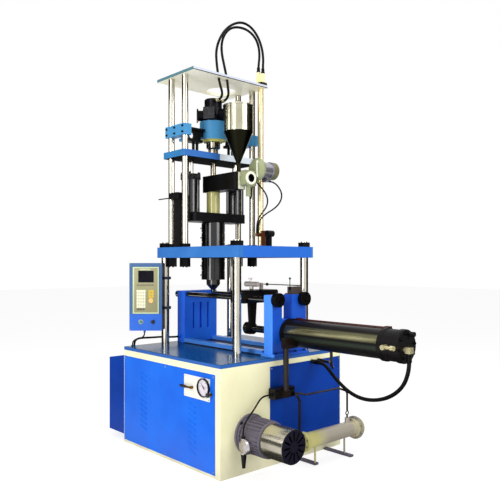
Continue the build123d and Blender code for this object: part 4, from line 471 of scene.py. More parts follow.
# The hopper's cone, below z 2691, is painted near black: a painted dark reflection of what lies
# below it.
HOPPER_STEEL = Finish(
    "hopper_polished_steel", (222, 220, 204), (178, 174, 142), metallic=1.0, roughness=0.17,
    spread=0.05, grain=Grain.LINES_Z, fineness=46, relief=0.03,
    zones=(Zone((27, 27, 18), z=(2300, 2691), metallic=1.0, roughness=0.2),))
GEAR_GREEN = Finish(
    "gear_green_enamel", (164, 170, 130), (104, 112, 74), roughness=0.34, relief=0.16,
    fineness=60,
    zones=(Zone((178, 176, 186), y=(241.5, 356.5), metallic=0.85, roughness=0.3),
           Zone((122, 120, 88), y=(356.5, 500), metallic=0.3),
           Zone((244, 244, 226), x=(121.2, 140), y=(40, 190))))
# The +X face of the front clamp block is painted pale: a painted highlight.
CARRIAGE = Finish(
    "carriage_paint", (14, 14, 16), (8, 8, 9), roughness=0.4, relief=0.16, specular=0.14,
    zones=(Zone((74, 146, 196), y=(-500, -295)),
           Zone((74, 146, 196), y=(403, 500)),
           Zone((74, 146, 196), (-441, -195), (-69, 177), (2664.5, 2860)),
           Zone((226, 222, 128), (-441, -195), (-69, 177), (2648, 2664.5)),
           Zone((206, 222, 236), x=(-164.6, -150), y=(-500, -295))))
FEED_PLATE = Finish(
    "feed_plate_paint", (15, 14, 17), (8, 8, 9), roughness=0.4, specular=0.12, relief=0.14)
MOTOR_BLACK = Finish(
    "radial_motor_enamel", (14, 13, 24), (6, 6, 12), roughness=0.3, specular=0.12, relief=0.06)
CROSSHEAD_BLACK = Finish(
    "crosshead_enamel", (15, 14, 14), (8, 7, 7), roughness=0.36, specular=0.14, relief=0.12,
    zones=(Zone((222, 212, 206), (120, 290), z=(1335, 1500), metallic=0.4, roughness=0.3),))
SCREW_STEEL = Finish(
    "screw_steel", (196, 186, 164), (112, 104, 90), metallic=1.0, roughness=0.2,
    grain=Grain.RINGS_Z, fineness=70)
# The clamp cylinder's olive colour is a painted reflection band; the dark zones above and below it
# are painted shade, and the grey-green zone at z 968 to 996 is a painted highlight.
CLAMP_BLACK = Finish(
    "clamp_cylinder_enamel", (118, 115, 88), (88, 85, 60), metallic=0.95, roughness=0.2,
    grain=Grain.LINES_X, fineness=30, relief=0.03,
    zones=(Zone((16, 12, 10), z=(1068, 1200), metallic=0.3, soft=6),
           Zone((12, 13, 12), z=(800, 1016), metallic=0.3, soft=5),
           Zone((46, 54, 46), z=(968, 996), metallic=0.7, soft=8),
           Zone((14, 13, 13), x=(500, 682), metallic=0.3, soft=2)))
CAP_BLACK = Finish(
    "cylinder_cap_enamel", (20, 18, 18), (10, 9, 9), roughness=0.4, specular=0.12, relief=0.12)
FITTING = Finish(
    "plated_fitting", (222, 214, 170), (170, 154, 100), metallic=0.75, roughness=0.3,
    fineness=90, relief=0.08,
    zones=(Zone((20, 18, 18), x=(1700, 1800), z=(1050, 1120), metallic=0.2),
           Zone((20, 18, 18), x=(600, 800), z=(690, 830), metallic=0.2)))
SWITCH_GREY = Finish("switch_box_grey", (78, 68, 62), (52, 44, 40), roughness=0.45, relief=0.1)
LEVER_STEEL = Finish("lever_steel", (26, 26, 28), (12, 12, 13), metallic=0.5, roughness=0.3)
PIPE = Finish(
    "pipe_paint", (32, 22, 18), (18, 12, 10), roughness=0.32, coat=0.2,
    zones=(Zone((64, 22, 14), x=(676, 1600), z=(1050, 1200), roughness=0.35),))
MANIFOLD_BLACK = Finish("manifold_black", (20, 18, 18), (9, 8, 8), roughness=0.4, relief=0.14)
MOTOR_GREY = Finish(
    "motor_grey_enamel", (118, 112, 124), (64, 60, 74), roughness=0.36, specular=0.3,
    relief=0.16)
COWL_SILVER = Finish(
    "cowl_aluminium", (206, 200, 184), (136, 130, 108), metallic=0.95, roughness=0.22,
    grain=Grain.LINES_X, fineness=60, relief=0.01,
    zones=(Zone((20, 19, 36), x=(1114, 1130), metallic=0.1, roughness=0.5),))
FAN_BLACK = Finish("fan_black", (26, 26, 30), (12, 12, 14), roughness=0.5)
TERMINAL_SILVER = Finish(
    "terminal_aluminium", (206, 200, 202), (150, 144, 146), metallic=0.9, roughness=0.24,
    grain=Grain.EVEN, fineness=80, relief=0.04,
    zones=(Zone((20, 18, 18), z=(0, 190), roughness=0.45),
           Zone((20, 18, 18), z=(299.5, 330), roughness=0.45)))
COOLER_CREAM = Finish(
    "cooler_enamel", (208, 202, 138), (152, 148, 76), roughness=0.34, relief=0.1,
    zones=(Zone((150, 150, 142), y=(584.5, 603.5), metallic=0.3),
           Zone((196, 188, 172), y=(150, 584), metallic=0.5, soft=70),
           Zone((104, 98, 114), z=(0, 16.2), metallic=0.3, roughness=0.5)))
BOX_BLUE = Finish(
    "control_box_enamel", (44, 110, 220), (40, 98, 204), roughness=0.36, relief=0.08,
    fineness=200,
    zones=(Zone((66, 102, 148), None, (-145, -131.5), (1110, 1560), 0.0, 0.4, *BOX_PLACE),
           Zone((56, 98, 138), (-300, -294), None, None, 0.0, 0.4, *BOX_PLACE),
           Zone((12, 13, 20), (-12, -6), None, None, 0.0, 0.4, *BOX_PLACE),
           Zone((52, 60, 82), (-6, 80), None, None, 0.0, 0.4, *BOX_PLACE)))
FACE_CREAM = Finish("key_face_border", (208, 220, 178), (188, 202, 152), roughness=0.42)
FACE_BEIGE = Finish("key_face_beige", (164, 160, 122), (146, 142, 104), roughness=0.5)
SCREEN_BLACK = Finish("screen_black", (8, 6, 18), (4, 3, 9), roughness=0.3, specular=0.08)
KEY_WHITE = Finish("key_white", (252, 250, 222), (236, 232, 198), roughness=0.45)
KEY_YELLOW = Finish("key_yellow", (226, 196, 70), (206, 172, 52), roughness=0.45)
KEY_ORANGE = Finish("key_orange", (250, 214, 140), (240, 176, 96), roughness=0.45)
KEY_GREY = Finish("key_grey", (120, 108, 98), (96, 86, 78), roughness=0.5)
# The start button's faint glow in its own green is painted light.
BUTTON_GREEN = Finish(
    "button_green", (36, 150, 120), (20, 112, 92), roughness=0.25, coat=0.5, glow=0.15)
KNOB_BLACK = Finish("knob_black", (20, 20, 24), (10, 10, 12), roughness=0.3, coat=0.4)
RUBBER = Finish(
    "hose_rubber", (14, 13, 13), (8, 7, 7), roughness=0.42, specular=0.12, fineness=180,
    relief=0.2)
SCREW_ZINC = Finish(
    "zinc_screw", (176, 172, 160), (128, 124, 112), metallic=0.9, roughness=0.34, fineness=120)

NODE_FINISH = {
    "base_frame": CREAM, "front_panel": PANEL_BLUE, "end_panel": DEEP_BLUE,
    "base_slab": SLAB_BLUE, "side_cabinet": CABINET_BLUE, "gauge_plate": PLATE_WHITE,
    "pressure_gauge": GAUGE_BLACK, "gauge_needle": NEEDLE, "gauge_valve": BRASS,
    "gauge_handle": KNOB_BLACK, "lower_columns": COLUMN_CHROME,
    "upper_columns": COLUMN_CHROME, "column_nuts": BLACK_OXIDE,
    "injection_platen": PLATEN_BLUE, "top_plate": TOP_CREAM, "riser_duct": RISER_CREAM,
    "switch_rail": SWITCH_BLACK, "barrel": BARREL_STEEL, "heater_bands": HEATER_STEEL,
    "nozzle": NOZZLE_STEEL, "feed_block": FEED_BLACK, "feed_plate": FEED_PLATE,
    "injection_cylinders": CYLINDER_BLACK, "injection_rods": COLUMN_CHROME,
    "hopper": HOPPER_STEEL, "gear_unit": GEAR_GREEN, "thrust_plate": UPPER_BLUE,
    "motor_carriage": CARRIAGE, "hydraulic_motor": MOTOR_BLACK, "screw": SCREW_STEEL,
    "fixed_clamp_platen": CLAMP_BLUE, "clamp_bed": BED_BLUE, "cylinder_platen": CROSS_BLUE,
    "tie_bars": BAR_CHROME, "tie_bar_nuts": BLACK_OXIDE, "crosshead": CROSSHEAD_BLACK,
    "clamp_rod": BAR_CHROME, "clamp_cylinder": CLAMP_BLACK, "cylinder_end_cap": CAP_BLACK,
    "hydraulic_fittings": FITTING, "switch_box": SWITCH_GREY, "limit_lever": LEVER_STEEL,
    "hydraulic_pipes": PIPE, "valve_manifold": MANIFOLD_BLACK, "motor_body": MOTOR_GREY,
    "motor_cowl": COWL_SILVER, "motor_fan": FAN_BLACK,
    "motor_terminal_box": TERMINAL_SILVER, "oil_cooler": COOLER_CREAM,
    "control_box": BOX_BLUE, "start_button": BUTTON_GREEN, "selector_knob": KNOB_BLACK,
}


class Bench:
    """Modelling bench: starts each piece from a primitive and shapes it with Blender's tools."""

    @staticmethod
    def clear() -> None:
        """Leave edit mode and deselect everything."""
        active = bpy.context.view_layer.objects.active
        if active and active.mode != "OBJECT":
            bpy.ops.object.mode_set(mode="OBJECT")
        bpy.ops.object.select_all(action="DESELECT")

    @classmethod
    def pick(cls, *pieces: Piece) -> None:
        """Select some pieces, the last of them active.

        Args:
            pieces: The pieces to select.
        """
        cls.clear()
        for piece in pieces:
            piece.select_set(True)
        bpy.context.view_layer.objects.active = pieces[-1]

    @classmethod
    def settle(cls, piece: Piece) -> Piece:
        """Put a piece's place into its mesh, so that its object lies at the origin.

        Args:
            piece: The piece.

        Returns:
            The same piece.
        """
        cls.pick(piece)
        bpy.ops.object.transform_apply(location=True, rotation=True, scale=True)
        return piece

    @classmethod
    def block(cls, name: str, low: Point, high: Point) -> Piece:
        """Start a rectangular piece.

        Args:
            name: Its name.
            low: Its lowest corner in millimetres.
            high: Its highest corner in millimetres.

        Returns:
            The new piece.
        """
        cls.clear()
        middle = [(a + b) / 2 * METRE for a, b in zip(low, high)]
        size = [(b - a) * METRE for a, b in zip(low, high)]
        bpy.ops.mesh.primitive_cube_add(size=1, location=middle, scale=size)
        piece = bpy.context.object
        piece.name = name
        return cls.settle(piece)

    @classmethod
    def turned(cls, name: str, profile: Profile, place: Point, toward: Side,
               sides: int = 32) -> Piece:
        """Turn a piece as on a lathe: a disc is extruded and resized step by step.

        Args:
            name: Its name.
            profile: Radius and height of each step, in millimetres.
            place: The middle of its foot, in millimetres.
            toward: The way that its axis points.
            sides: Facets round it.

        Returns:
            The new piece.
        """
        cls.clear()
        radius, start = profile[0]
        bpy.ops.mesh.primitive_circle_add(vertices=sides, radius=radius * METRE,
                                          fill_type="NGON", location=(0, 0, 0))
        piece = bpy.context.object
        piece.name = name
        bpy.ops.object.mode_set(mode="EDIT")
        bpy.ops.mesh.select_all(action="SELECT")
        for (before, low), (after, high) in zip(profile, profile[1:]):
            bpy.ops.mesh.extrude_region_move(
                TRANSFORM_OT_translate={"value": (0, 0, (high - low) * METRE)})
            ratio = after / before
            bpy.ops.transform.resize(value=(ratio, ratio, 1),
                                     center_override=(0, 0, (high - start) * METRE))
        bpy.ops.mesh.select_all(action="SELECT")
        bpy.ops.mesh.normals_make_consistent(inside=False)
        bpy.ops.object.mode_set(mode="OBJECT")
        piece.rotation_mode = "QUATERNION"
        piece.rotation_quaternion = toward.vector.to_track_quat("Z", "Y")
        piece.location = Vector(place) * METRE
        cls.settle(piece)
        bpy.ops.object.shade_smooth_by_angle(angle=SMOOTH_ANGLE)
        return piece

    @classmethod
    def soften(cls, piece: Piece, width: float, segments: int = 2) -> None:
        """Round a piece's sharp edges.

        Args:
            piece: The piece.
            width: The bevel's width in millimetres.
            segments: Facets across the bevel.
        """
        cls.pick(piece)
        bevel = piece.modifiers.new("rounded_edges", "BEVEL")
        bevel.width = width * METRE
        bevel.segments = segments
        bevel.limit_method = "ANGLE"
        bevel.angle_limit = BEVEL_ANGLE
        bpy.ops.object.modifier_apply(modifier=bevel.name)
        bpy.ops.object.shade_smooth_by_angle(angle=SMOOTH_ANGLE)

    @classmethod
    def cut(cls, piece: Piece, tool: Piece) -> None:
        """Cut a hole in a piece.

        Args:
            piece: The piece.
            tool: The shape of the hole, which is used up.
        """
        cls.pick(piece)
        hole = piece.modifiers.new("hole", "BOOLEAN")
        hole.object = tool
        bpy.ops.object.modifier_apply(modifier=hole.name)
        bpy.data.objects.remove(tool)

    @classmethod
    def sink_face(cls, piece: Piece, toward: Side, inset: float, depth: float) -> None:
        """Inset the faces that look one way and push them in.

        Args:
            piece: The piece.
            toward: The way that the faces look.
            inset: The border that stays, in millimetres.
            depth: How far they go in, in millimetres.
        """
        cls.pick(piece)
        bpy.ops.object.mode_set(mode="EDIT")
        bpy.ops.mesh.select_all(action="DESELECT")
        bpy.ops.object.mode_set(mode="OBJECT")
        for face in piece.data.polygons:
            face.select = face.normal.dot(toward.vector) > 0.99
        bpy.ops.object.mode_set(mode="EDIT")
        bpy.ops.mesh.select_mode(type="FACE")
        bpy.ops.mesh.inset(thickness=inset * METRE, depth=0)
        bpy.ops.transform.translate(value=toward.vector * (-depth * METRE))
        bpy.ops.object.mode_set(mode="OBJECT")

    @classmethod
    def join(cls, name: str, *pieces: Piece) -> Piece:
        """Join pieces into one.

        Args:
            name: The name of the whole.
            pieces: The pieces.

        Returns:
            The joined piece.
        """
        cls.pick(*pieces)
        if len(pieces) > 1:
            bpy.ops.object.join()
        joined = bpy.context.view_layer.objects.active
        joined.name = name
        return joined

    @classmethod
    def repeat(cls, pattern: Piece, places: list[Matrix]) -> Piece:
        """Copy a piece to several places, each copy with its own mesh, and join the copies.

        Args:
            pattern: The piece that is modelled once; it is used up.
            places: Where each copy goes.

        Returns:
            The joined piece, under the pattern's name.
        """
        name = pattern.name
        copies = []
        for place in places:
            copy = pattern.copy()
            copy.data = pattern.data.copy()
            bpy.context.scene.collection.objects.link(copy)
            copy.matrix_world = place
            copies.append(cls.settle(copy))
        bpy.data.objects.remove(pattern)
        return cls.join(name, *copies)

    @staticmethod
    def fit(piece: Piece, finish: Finish, slot: str, body: str = "frame") -> None:
        """Paint a piece and let it ride on its body.

        Args:
            piece: The piece.
            finish: Its finish.
            slot: Not used.
            body: The body that carries it.
        """
        piece.data.materials.clear()
        piece.data.materials.append(finish.material())
        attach(piece, body)
        LOG.info("%s rides on %s in %s", piece.name, body, finish.name)


def shift(place: Point) -> Matrix:
    """Give a move.

    Args:
        place: Where the origin goes, in millimetres.

    Returns:
        The matrix of the move.
    """
    return Matrix.Translation(Vector(place) * METRE)


def turn_about(axis: str, angle: float) -> Matrix:
    """Give a turn about an axis through the origin.

    Args:
        axis: The axis: X, Y or Z.
        angle: The angle in degrees.

    Returns:
        The matrix of the turn.
    """
    return Matrix.Rotation(math.radians(angle), 4, axis)


def seat(place: Point, toward: Side, turn: float = 0.0) -> Matrix:
    """Give the seat of a small part.

    Args:
        place: Its foot in millimetres.
        toward: The way that it points.
        turn: How far it is turned about that way, in degrees.

    Returns:
        The matrix from its own frame to the machine's.
    """
    aim = toward.vector.to_track_quat("Z", "Y").to_matrix().to_4x4()
    return shift(place) @ aim @ turn_about("Z", turn)


def lattice(xs: Row, ys: Row, zs: Row, toward: Side, turn: float = 0.0,
            step: float = 0.0) -> list[Matrix]:
    """Give seats in rows, one wherever a value of each row meets the others.

    Args:
        xs: Places along X in millimetres.
        ys: Places along Y.
        zs: Places along Z.
        toward: The way that the seats point.
        turn: How far the first seat is turned, in degrees.
        step: How much further each next one is turned.

    Returns:
        The seats.
    """
    return [seat(place, toward, turn + step * index)
            for index, place in enumerate(product(xs, ys, zs))]


def ring(centre: Point, radius: float, count: int, toward: Side,
         start: float = 0.0) -> list[Matrix]:
    """Give seats on a bolt circle.

    Args:
        centre: The circle's centre in millimetres.
        radius: Its radius in millimetres.
        count: How many seats it has.
        toward: The way that the seats point.
        start: The angle of the first seat in degrees.

    Returns:
        The seats, each turned a little further than the last.
    """
    aim = toward.vector.to_track_quat("Z", "Y")
    seats = []
    for index in range(count):
        angle = math.radians(start + 360 / count * index)
        offset = aim @ Vector((radius * math.cos(angle), radius * math.sin(angle), 0))
        seats.append(seat(tuple(Vector(centre) + offset), toward, HEAD_TURN * index))
    return seats


@dataclass
class Fasteners:
    """Screws, bolts and nuts; heights and washer are shares of a head's width."""

    hex_height: float = 0.62
    washer: float = 1.28
    cap_height: float = 0.62

    def hex_bolt(self, name: str, flats: float) -> Piece:
        """Model a hexagon bolt head on its washer.

        Args:
            name: Its name.
            flats: The width across its flats in millimetres.

        Returns:
            The pattern, at the origin.
        """
        radius = flats / math.sqrt(3)
        rim = radius * self.washer
        height = flats * self.hex_height
        head = Bench.turned(name, [(radius, 0), (radius, 0.8 * height), (0.86 * radius, height)],
                            (0, 0, 0), Side.UP, 6)
        steps = [(rim, -0.6), (rim, flats * 0.1), (rim * 0.94, flats * 0.14)]
        disc = Bench.turned("washer", steps, (0, 0, -0.6), Side.UP, 20)
        return Bench.join(name, disc, head)

    def cap_screw(self, name: str, diameter: float) -> Piece:
        """Model a socket head cap screw, its socket sunk in the head.

        Args:
            name: Its name.
            diameter: The head's diameter in millimetres.

        Returns:
            The pattern, at the origin.
        """
        r = diameter / 2
        h = diameter * self.cap_height
        steps = [(r, -0.5), (r, 0.88 * h), (0.9 * r, h), (0.52 * r, h), (0.5 * r, 0.5 * h)]
        return Bench.turned(name, steps, (0, 0, -0.5), Side.UP, 18)

    @staticmethod
    def pan_screw(name: str, diameter: float) -> Piece:
        """Model a low round head screw.

        Args:
            name: Its name.
            diameter: The head's diameter in millimetres.

        Returns:
            The pattern, at the origin.
        """
        r = diameter / 2
        steps = [(r, -0.3), (r, 0.2 * r), (0.86 * r, 0.42 * r), (0.5 * r, 0.56 * r),
                 (0.18 * r, 0.58 * r), (0.16 * r, 0.3 * r)]
        return Bench.turned(name, steps, (0, 0, -0.3), Side.UP, 16)

    @staticmethod
    def _put(pattern: Piece, seats: list[Matrix], finish: Finish, slot: str,
             body: str = "frame") -> None:
        """Put a set of equal fasteners on their seats.

        Args:
            pattern: The fastener, which is used up.
            seats: Where each one goes.
            finish: Their finish.
            slot: Passed on to Bench.fit.
            body: The body that carries them.
        """
        Bench.fit(Bench.repeat(pattern, seats), finish, slot, body)

    def build(self) -> None:
        """Make every set of fasteners and fit it to its body."""
        self._drive_motor()
        self._clamp()
        self._injection_unit()
        self._carriage()
        self._cabinet()

    def _drive_motor(self) -> None:
        """Bolt the drive motor, its terminal box and the cooler."""
        self._put(self.hex_bolt("motor_flange_bolts", 18),
                  ring((679, -384, 290), 137, 4, Side.RIGHT, 45), BLACK_OXIDE, "nut_black")
        self._put(self.pan_screw("terminal_box_screws", 8),
                  ring((770, -546.5, 243), 42, 4, Side.FRONT, 45), SCREW_ZINC,
                  "terminal_aluminium")
        self._put(self.hex_bolt("cooler_bolts", 12),
                  ring((866, 603, 200), 84, 8, Side.BACK, 22.5)
                  + ring((866, 585, 200), 84, 8, Side.FRONT, 22.5)
                  + ring((866, -40, 200), 62, 8, Side.FRONT, 22.5), SCREW_ZINC, "cooler_cream")

    def _clamp(self) -> None:
        """Bolt the clamp cylinder, the platens and the manifold."""
        self._put(self.cap_screw("end_cap_screws", 20),
                  ring((1726, 54, 1003), 88, 8, Side.RIGHT, 10), BLACK_OXIDE, "end_cap_black")
        self._put(self.hex_bolt("platen_foot_bolts", 15),
                  lattice((545, 658), (-105, 0, 110, 214), (850,), Side.UP, step=11),
                  BLACK_OXIDE, "nut_black")
        self._put(self.cap_screw("manifold_screws", 12),
                  lattice((735,), (-172, -24, 8), (534, 586), Side.RIGHT), BLACK_OXIDE,
                  "manifold_black")
        self._put(self.pan_screw("switch_box_screws", 7),
                  lattice((593, 632), (99, 202), (1366,), Side.UP, 30), SCREW_ZINC,
                  "switch_grey")

    def _injection_unit(self) -> None:
        """Bolt the injection cylinders and the feed gear."""
        heads = [place for x, y in CYLINDER_AXES
                 for place in lattice((x - ROD_OFFSET, x + ROD_OFFSET),
                                      (y - ROD_OFFSET, y + ROD_OFFSET), (2345,), Side.UP, 20)]
        self._put(self.hex_bolt("cylinder_head_nuts", 22), heads, BLACK_OXIDE, "cylinder_black",
                  "injection_unit")
        housing = ring((93.5, 241, 2376), 84, 6, Side.BACK, 30)
        worm = lattice((121,), (57, 171), (2231, 2345), Side.RIGHT)
        self._put(self.hex_bolt("gear_bolts", 11), housing + worm, SCREW_ZINC, "gear_cream",
                  "injection_unit")

    def _carriage(self) -> None:
        """Bolt the motor carriage and the thrust plate."""
        clamps = [place for y, side in ((-372, Side.FRONT), (480, Side.BACK))
                  for place in lattice((-436, -318, -200), (y,), (2672, 2723), side, 12)]
        self._put(self.cap_screw("clamp_block_screws", 18), clamps, BLACK_OXIDE, "carriage_blue",
                  "thrust_carriage")
        self._put(self.hex_bolt("rod_nuts", 46),
                  [seat((x, y, 2526), Side.UP, 24) for x, y in CYLINDER_AXES], BLACK_OXIDE,
                  "nut_black", "thrust_carriage")
        self._put(self.cap_screw("bearing_flange_screws", 12),
                  ring((*BARREL_AXIS, 2649), 76, 8, Side.DOWN), BLACK_OXIDE, "carriage_blue",
                  "thrust_carriage")

    def _cabinet(self) -> None:
        """Screw the covers and the gauge plate on the cabinet."""
        self._put(self.pan_screw("cover_screws", 13),
                  lattice((-634, -24, 585), (-668,), (42, 732), Side.FRONT, step=8)
                  + lattice((664,), (-158, 637), (136, 744), Side.RIGHT, step=8), SCREW_ZINC,
                  "blue_panel")
        self._put(self.pan_screw("gauge_plate_screws", 8),
                  lattice((244, 536), (-671,), (558, 700), Side.FRONT, 15), SCREW_ZINC,
                  "white_plate")


@dataclass(frozen=True)
class KeyField:
    """Keys of one kind on the face of the control box, drawn in the box's frame."""

    name: str
    columns: Row
    rows: Row
    width: float
    height: float
    finish: Finish
    rise: float = 2.4


KEY_FIELDS = (
    KeyField("white_keys", (-223, -203, -183, -163), (1176, 1202.5, 1229, 1255.5, 1282, 1308.5),
             17.5, 23, KEY_WHITE),
    KeyField("yellow_keys", (-117, -93), (1262, 1286, 1310), 21, 21, KEY_YELLOW),
    KeyField("function_keys", (-218, -193, -168, -143, -118, -93), (1362,), 20, 9, KEY_GREY),
    KeyField("lower_keys", (-218, -195, -172), (1151,), 20, 15, KEY_GREY),
    KeyField("menu_keys", (-128, -105, -82), (1196, 1170), 18, 16, FACE_BEIGE),
    KeyField("title_strip", (-158,), (1500,), 92, 9, FACE_CREAM, 1.2),
)


@dataclass
class ControlPanel:
    """Face of the control box: key field, screen, keys and bezels, drawn in the box's frame."""

    front: float = -138.0
    sheet: float = -135.0
    face: Sides = (-265.5, -38.5, 1113.0, 1520.0)
    border: Sides = (13.0, 11.0, 12.0, 10.0)
    border_lap: float = 0.5
    screen: Sides = (-217.5, -82.5, 1385.0, 1487.0)
    screen_gap: float = 0.3
    glass_gap: float = 0.6
    field_rise: float = 1.1
    tool_reach: float = 4.0

    @staticmethod
    def _fit(piece: Piece, finish: Finish) -> None:
        """Carry a piece to the box and let it ride on it.

        Args:
            piece: The piece, in the box's drawing frame.
            finish: Its finish.
        """
        column, turn = BOX_PLACE
        piece.matrix_world = shift(column) @ turn_about("Z", turn) @ piece.matrix_world
        Bench.fit(Bench.settle(piece), finish, "box_blue", "control_box")

    def _plate(self, name: str, sides: Sides, margins: Sides, back: float,
               front: float) -> Piece:
        """Start a flat piece on the face.

        Args:
            name: Its name.
            sides: The left, right, low and high edge that it is drawn from.
            margins: How far each of its own edges lies inside them.
            back: How far its back lies in front of the face.
            front: How far its front does.

        Returns:
            The new piece.
        """
        left, right, low, high = sides
        return Bench.block(name, (left + margins[0], self.front - front, low + margins[2]),
                           (right - margins[1], self.front - back, high - margins[3]))

    def _keys(self, keys: KeyField) -> None:
        """Make a field of keys with rounded edges and a sunk top.

        Args:
            keys: The field.
        """
        x, z = keys.width / 2, keys.height / 2
        key = Bench.block(keys.name, (-x, -keys.rise, -z), (x, 0.2, z))
        Bench.sink_face(key, Side.FRONT, 1.6, 0.5)
        Bench.soften(key, 0.6, 1)
        places = [shift(place)
                  for place in product(keys.columns, (self.front - self.field_rise,), keys.rows)]
        self._fit(Bench.repeat(key, places), keys.finish)

    def build(self) -> None:
        """Make the pieces of the face."""
        reach = (-self.tool_reach, self.tool_reach)
        beige = self._plate("key_field", self.face, self.border, -0.2, self.field_rise)
        Bench.soften(beige, 0.8)
        Bench.cut(beige, self._plate("screen_cut", self.screen, (-self.screen_gap,) * 4, *reach))
        self._fit(beige, FACE_BEIGE)
        border = self._plate("key_face_border", self.face, (0,) * 4, -0.1, 0.7)
        window = tuple(width - self.border_lap for width in self.border)
        Bench.cut(border, self._plate("border_cut", self.face, window, *reach))
        Bench.soften(border, 0.3, 1)
        self._fit(border, FACE_CREAM)
        glass = self._plate("screen_glass", self.screen, (self.glass_gap,) * 4, -1.4, -0.6)
        Bench.sink_face(glass, Side.FRONT, 4.0, 0.3)
        Bench.soften(glass, 0.3, 1)
        self._fit(glass, SCREEN_BLACK)
        for keys in KEY_FIELDS:
            self._keys(keys)
        cap = Bench.turned("round_key", [(21, 0), (21, 2), (17, 3.4), (15, 2.8)],
                           (-107, self.front - 1.0, 1228), Side.FRONT, 36)
        self._fit(cap, KEY_ORANGE)
        collar = Bench.turned("start_bezel", [(21, -0.2), (21, 0.8), (19.4, 1.8), (14.2, 1.8),
                                              (14.0, -0.1)], (-195, self.sheet, 1042),
                              Side.FRONT, 36)
        self._fit(collar, SCREW_ZINC)
        screws = [shift(place) @ turn_about("X", 90)
                  for place in product((-286, -20), (self.sheet,), (974, 1545))]
        self._fit(Bench.repeat(Fasteners.pan_screw("box_screws", 7), screws), SCREW_ZINC)
        shade = Bench.block("box_seam", (-296.1, -132.6, 964.4), (-9.9, -131.0, 1554.6))
        Bench.soften(shade, 0.4, 1)
        self._fit(shade, SWITCH_BLACK)


@dataclass
class Gauge:
    """Dial of the pressure gauge: face, scale marks, figures and bezel."""

    centre: Point = (482.0, -678.0, 642.0)
    face_radius: float = 61.0
    pin_radius: float = 3.4
    marks: int = 50
    mark_rim: float = 5.0
    figures: int = 6
    figure_step: int = 40
    figure_rim: float = 21.0
    figure_height: float = 10.0
    sweep: float = 270.0

    def build(self) -> None:
        """Make the dial and the bezel."""
        x, y, z = self.centre
        radius = self.face_radius
        dial = Bench.turned("gauge_dial", [(radius, 0), (radius, 0.1), (radius - 1.5, 0.17)],
                            self.centre, Side.FRONT, 64)
        Bench.cut(dial, Bench.turned("pin_cut", [(self.pin_radius, -2), (self.pin_radius, 4)],
                                     (x, y + 2, z), Side.FRONT, 16))
        Bench.fit(dial, DIAL_WHITE, "gauge_black")
        self._scale("long_marks", 9.0, 1.3, 5)
        self._scale("short_marks", 5.0, 0.7, 1)
        for index in range(self.figures):
            self._figure(str(self.figure_step * index), index / (self.figures - 1))
        rim = Bench.turned("gauge_bezel", [(64.0, -9.4), (64.0, -1.2), (68.5, -1.0), (70.0, 1.0),
                                           (69.0, 3.6), (65.0, 4.4), (62.4, 3.0), (61.8, -9.0)],
                           (x, -676.6, z), Side.FRONT, 64)
        Bench.fit(rim, GAUGE_BLACK, "gauge_black")

    def _scale(self, name: str, length: float, width: float, step: int) -> None:
        """Make the marks of the scale.

        Args:
            name: The piece's name.
            length: A mark's length in millimetres.
            width: A mark's width in millimetres.
            step: Every how many marks one is made.
        """
        rim = self.face_radius - self.mark_rim
        mark = Bench.block(name, (-width / 2, -0.26, rim - length), (width / 2, -0.1, rim))
        Bench.soften(mark, 0.04, 1)
        places = [shift(self.centre) @ turn_about("Y", self.sweep * (index / self.marks - 0.5))
                  for index in range(0, self.marks + 1, step)]
        Bench.fit(Bench.repeat(mark, places), INK_BLACK, "gauge_black")

    def _figure(self, words: str, share: float) -> None:
        """Set one figure of the scale.

        Args:
            words: The figure.
            share: Its place along the scale, from 0 to 1.
        """
        x, y, z = self.centre
        angle = math.radians(self.sweep * (share - 0.5))
        radius = self.face_radius - self.figure_rim
        place = (x + radius * math.sin(angle), y - 0.2, z + radius * math.cos(angle))
        Bench.clear()
        bpy.ops.object.text_add(location=(0, 0, 0))
        text = bpy.context.object
        text.name = f"gauge_figure_{words}"
        text.data.body = words
        text.data.size = self.figure_height * METRE
        text.data.extrude = 0.04 * METRE
        text.data.align_x = "CENTER"
        text.data.align_y = "CENTER"
        bpy.ops.object.convert(target="MESH")
        text = bpy.context.object
        text.matrix_world = shift(place) @ turn_about("X", 90)
        Bench.fit(Bench.settle(text), INK_BLACK, "gauge_black")


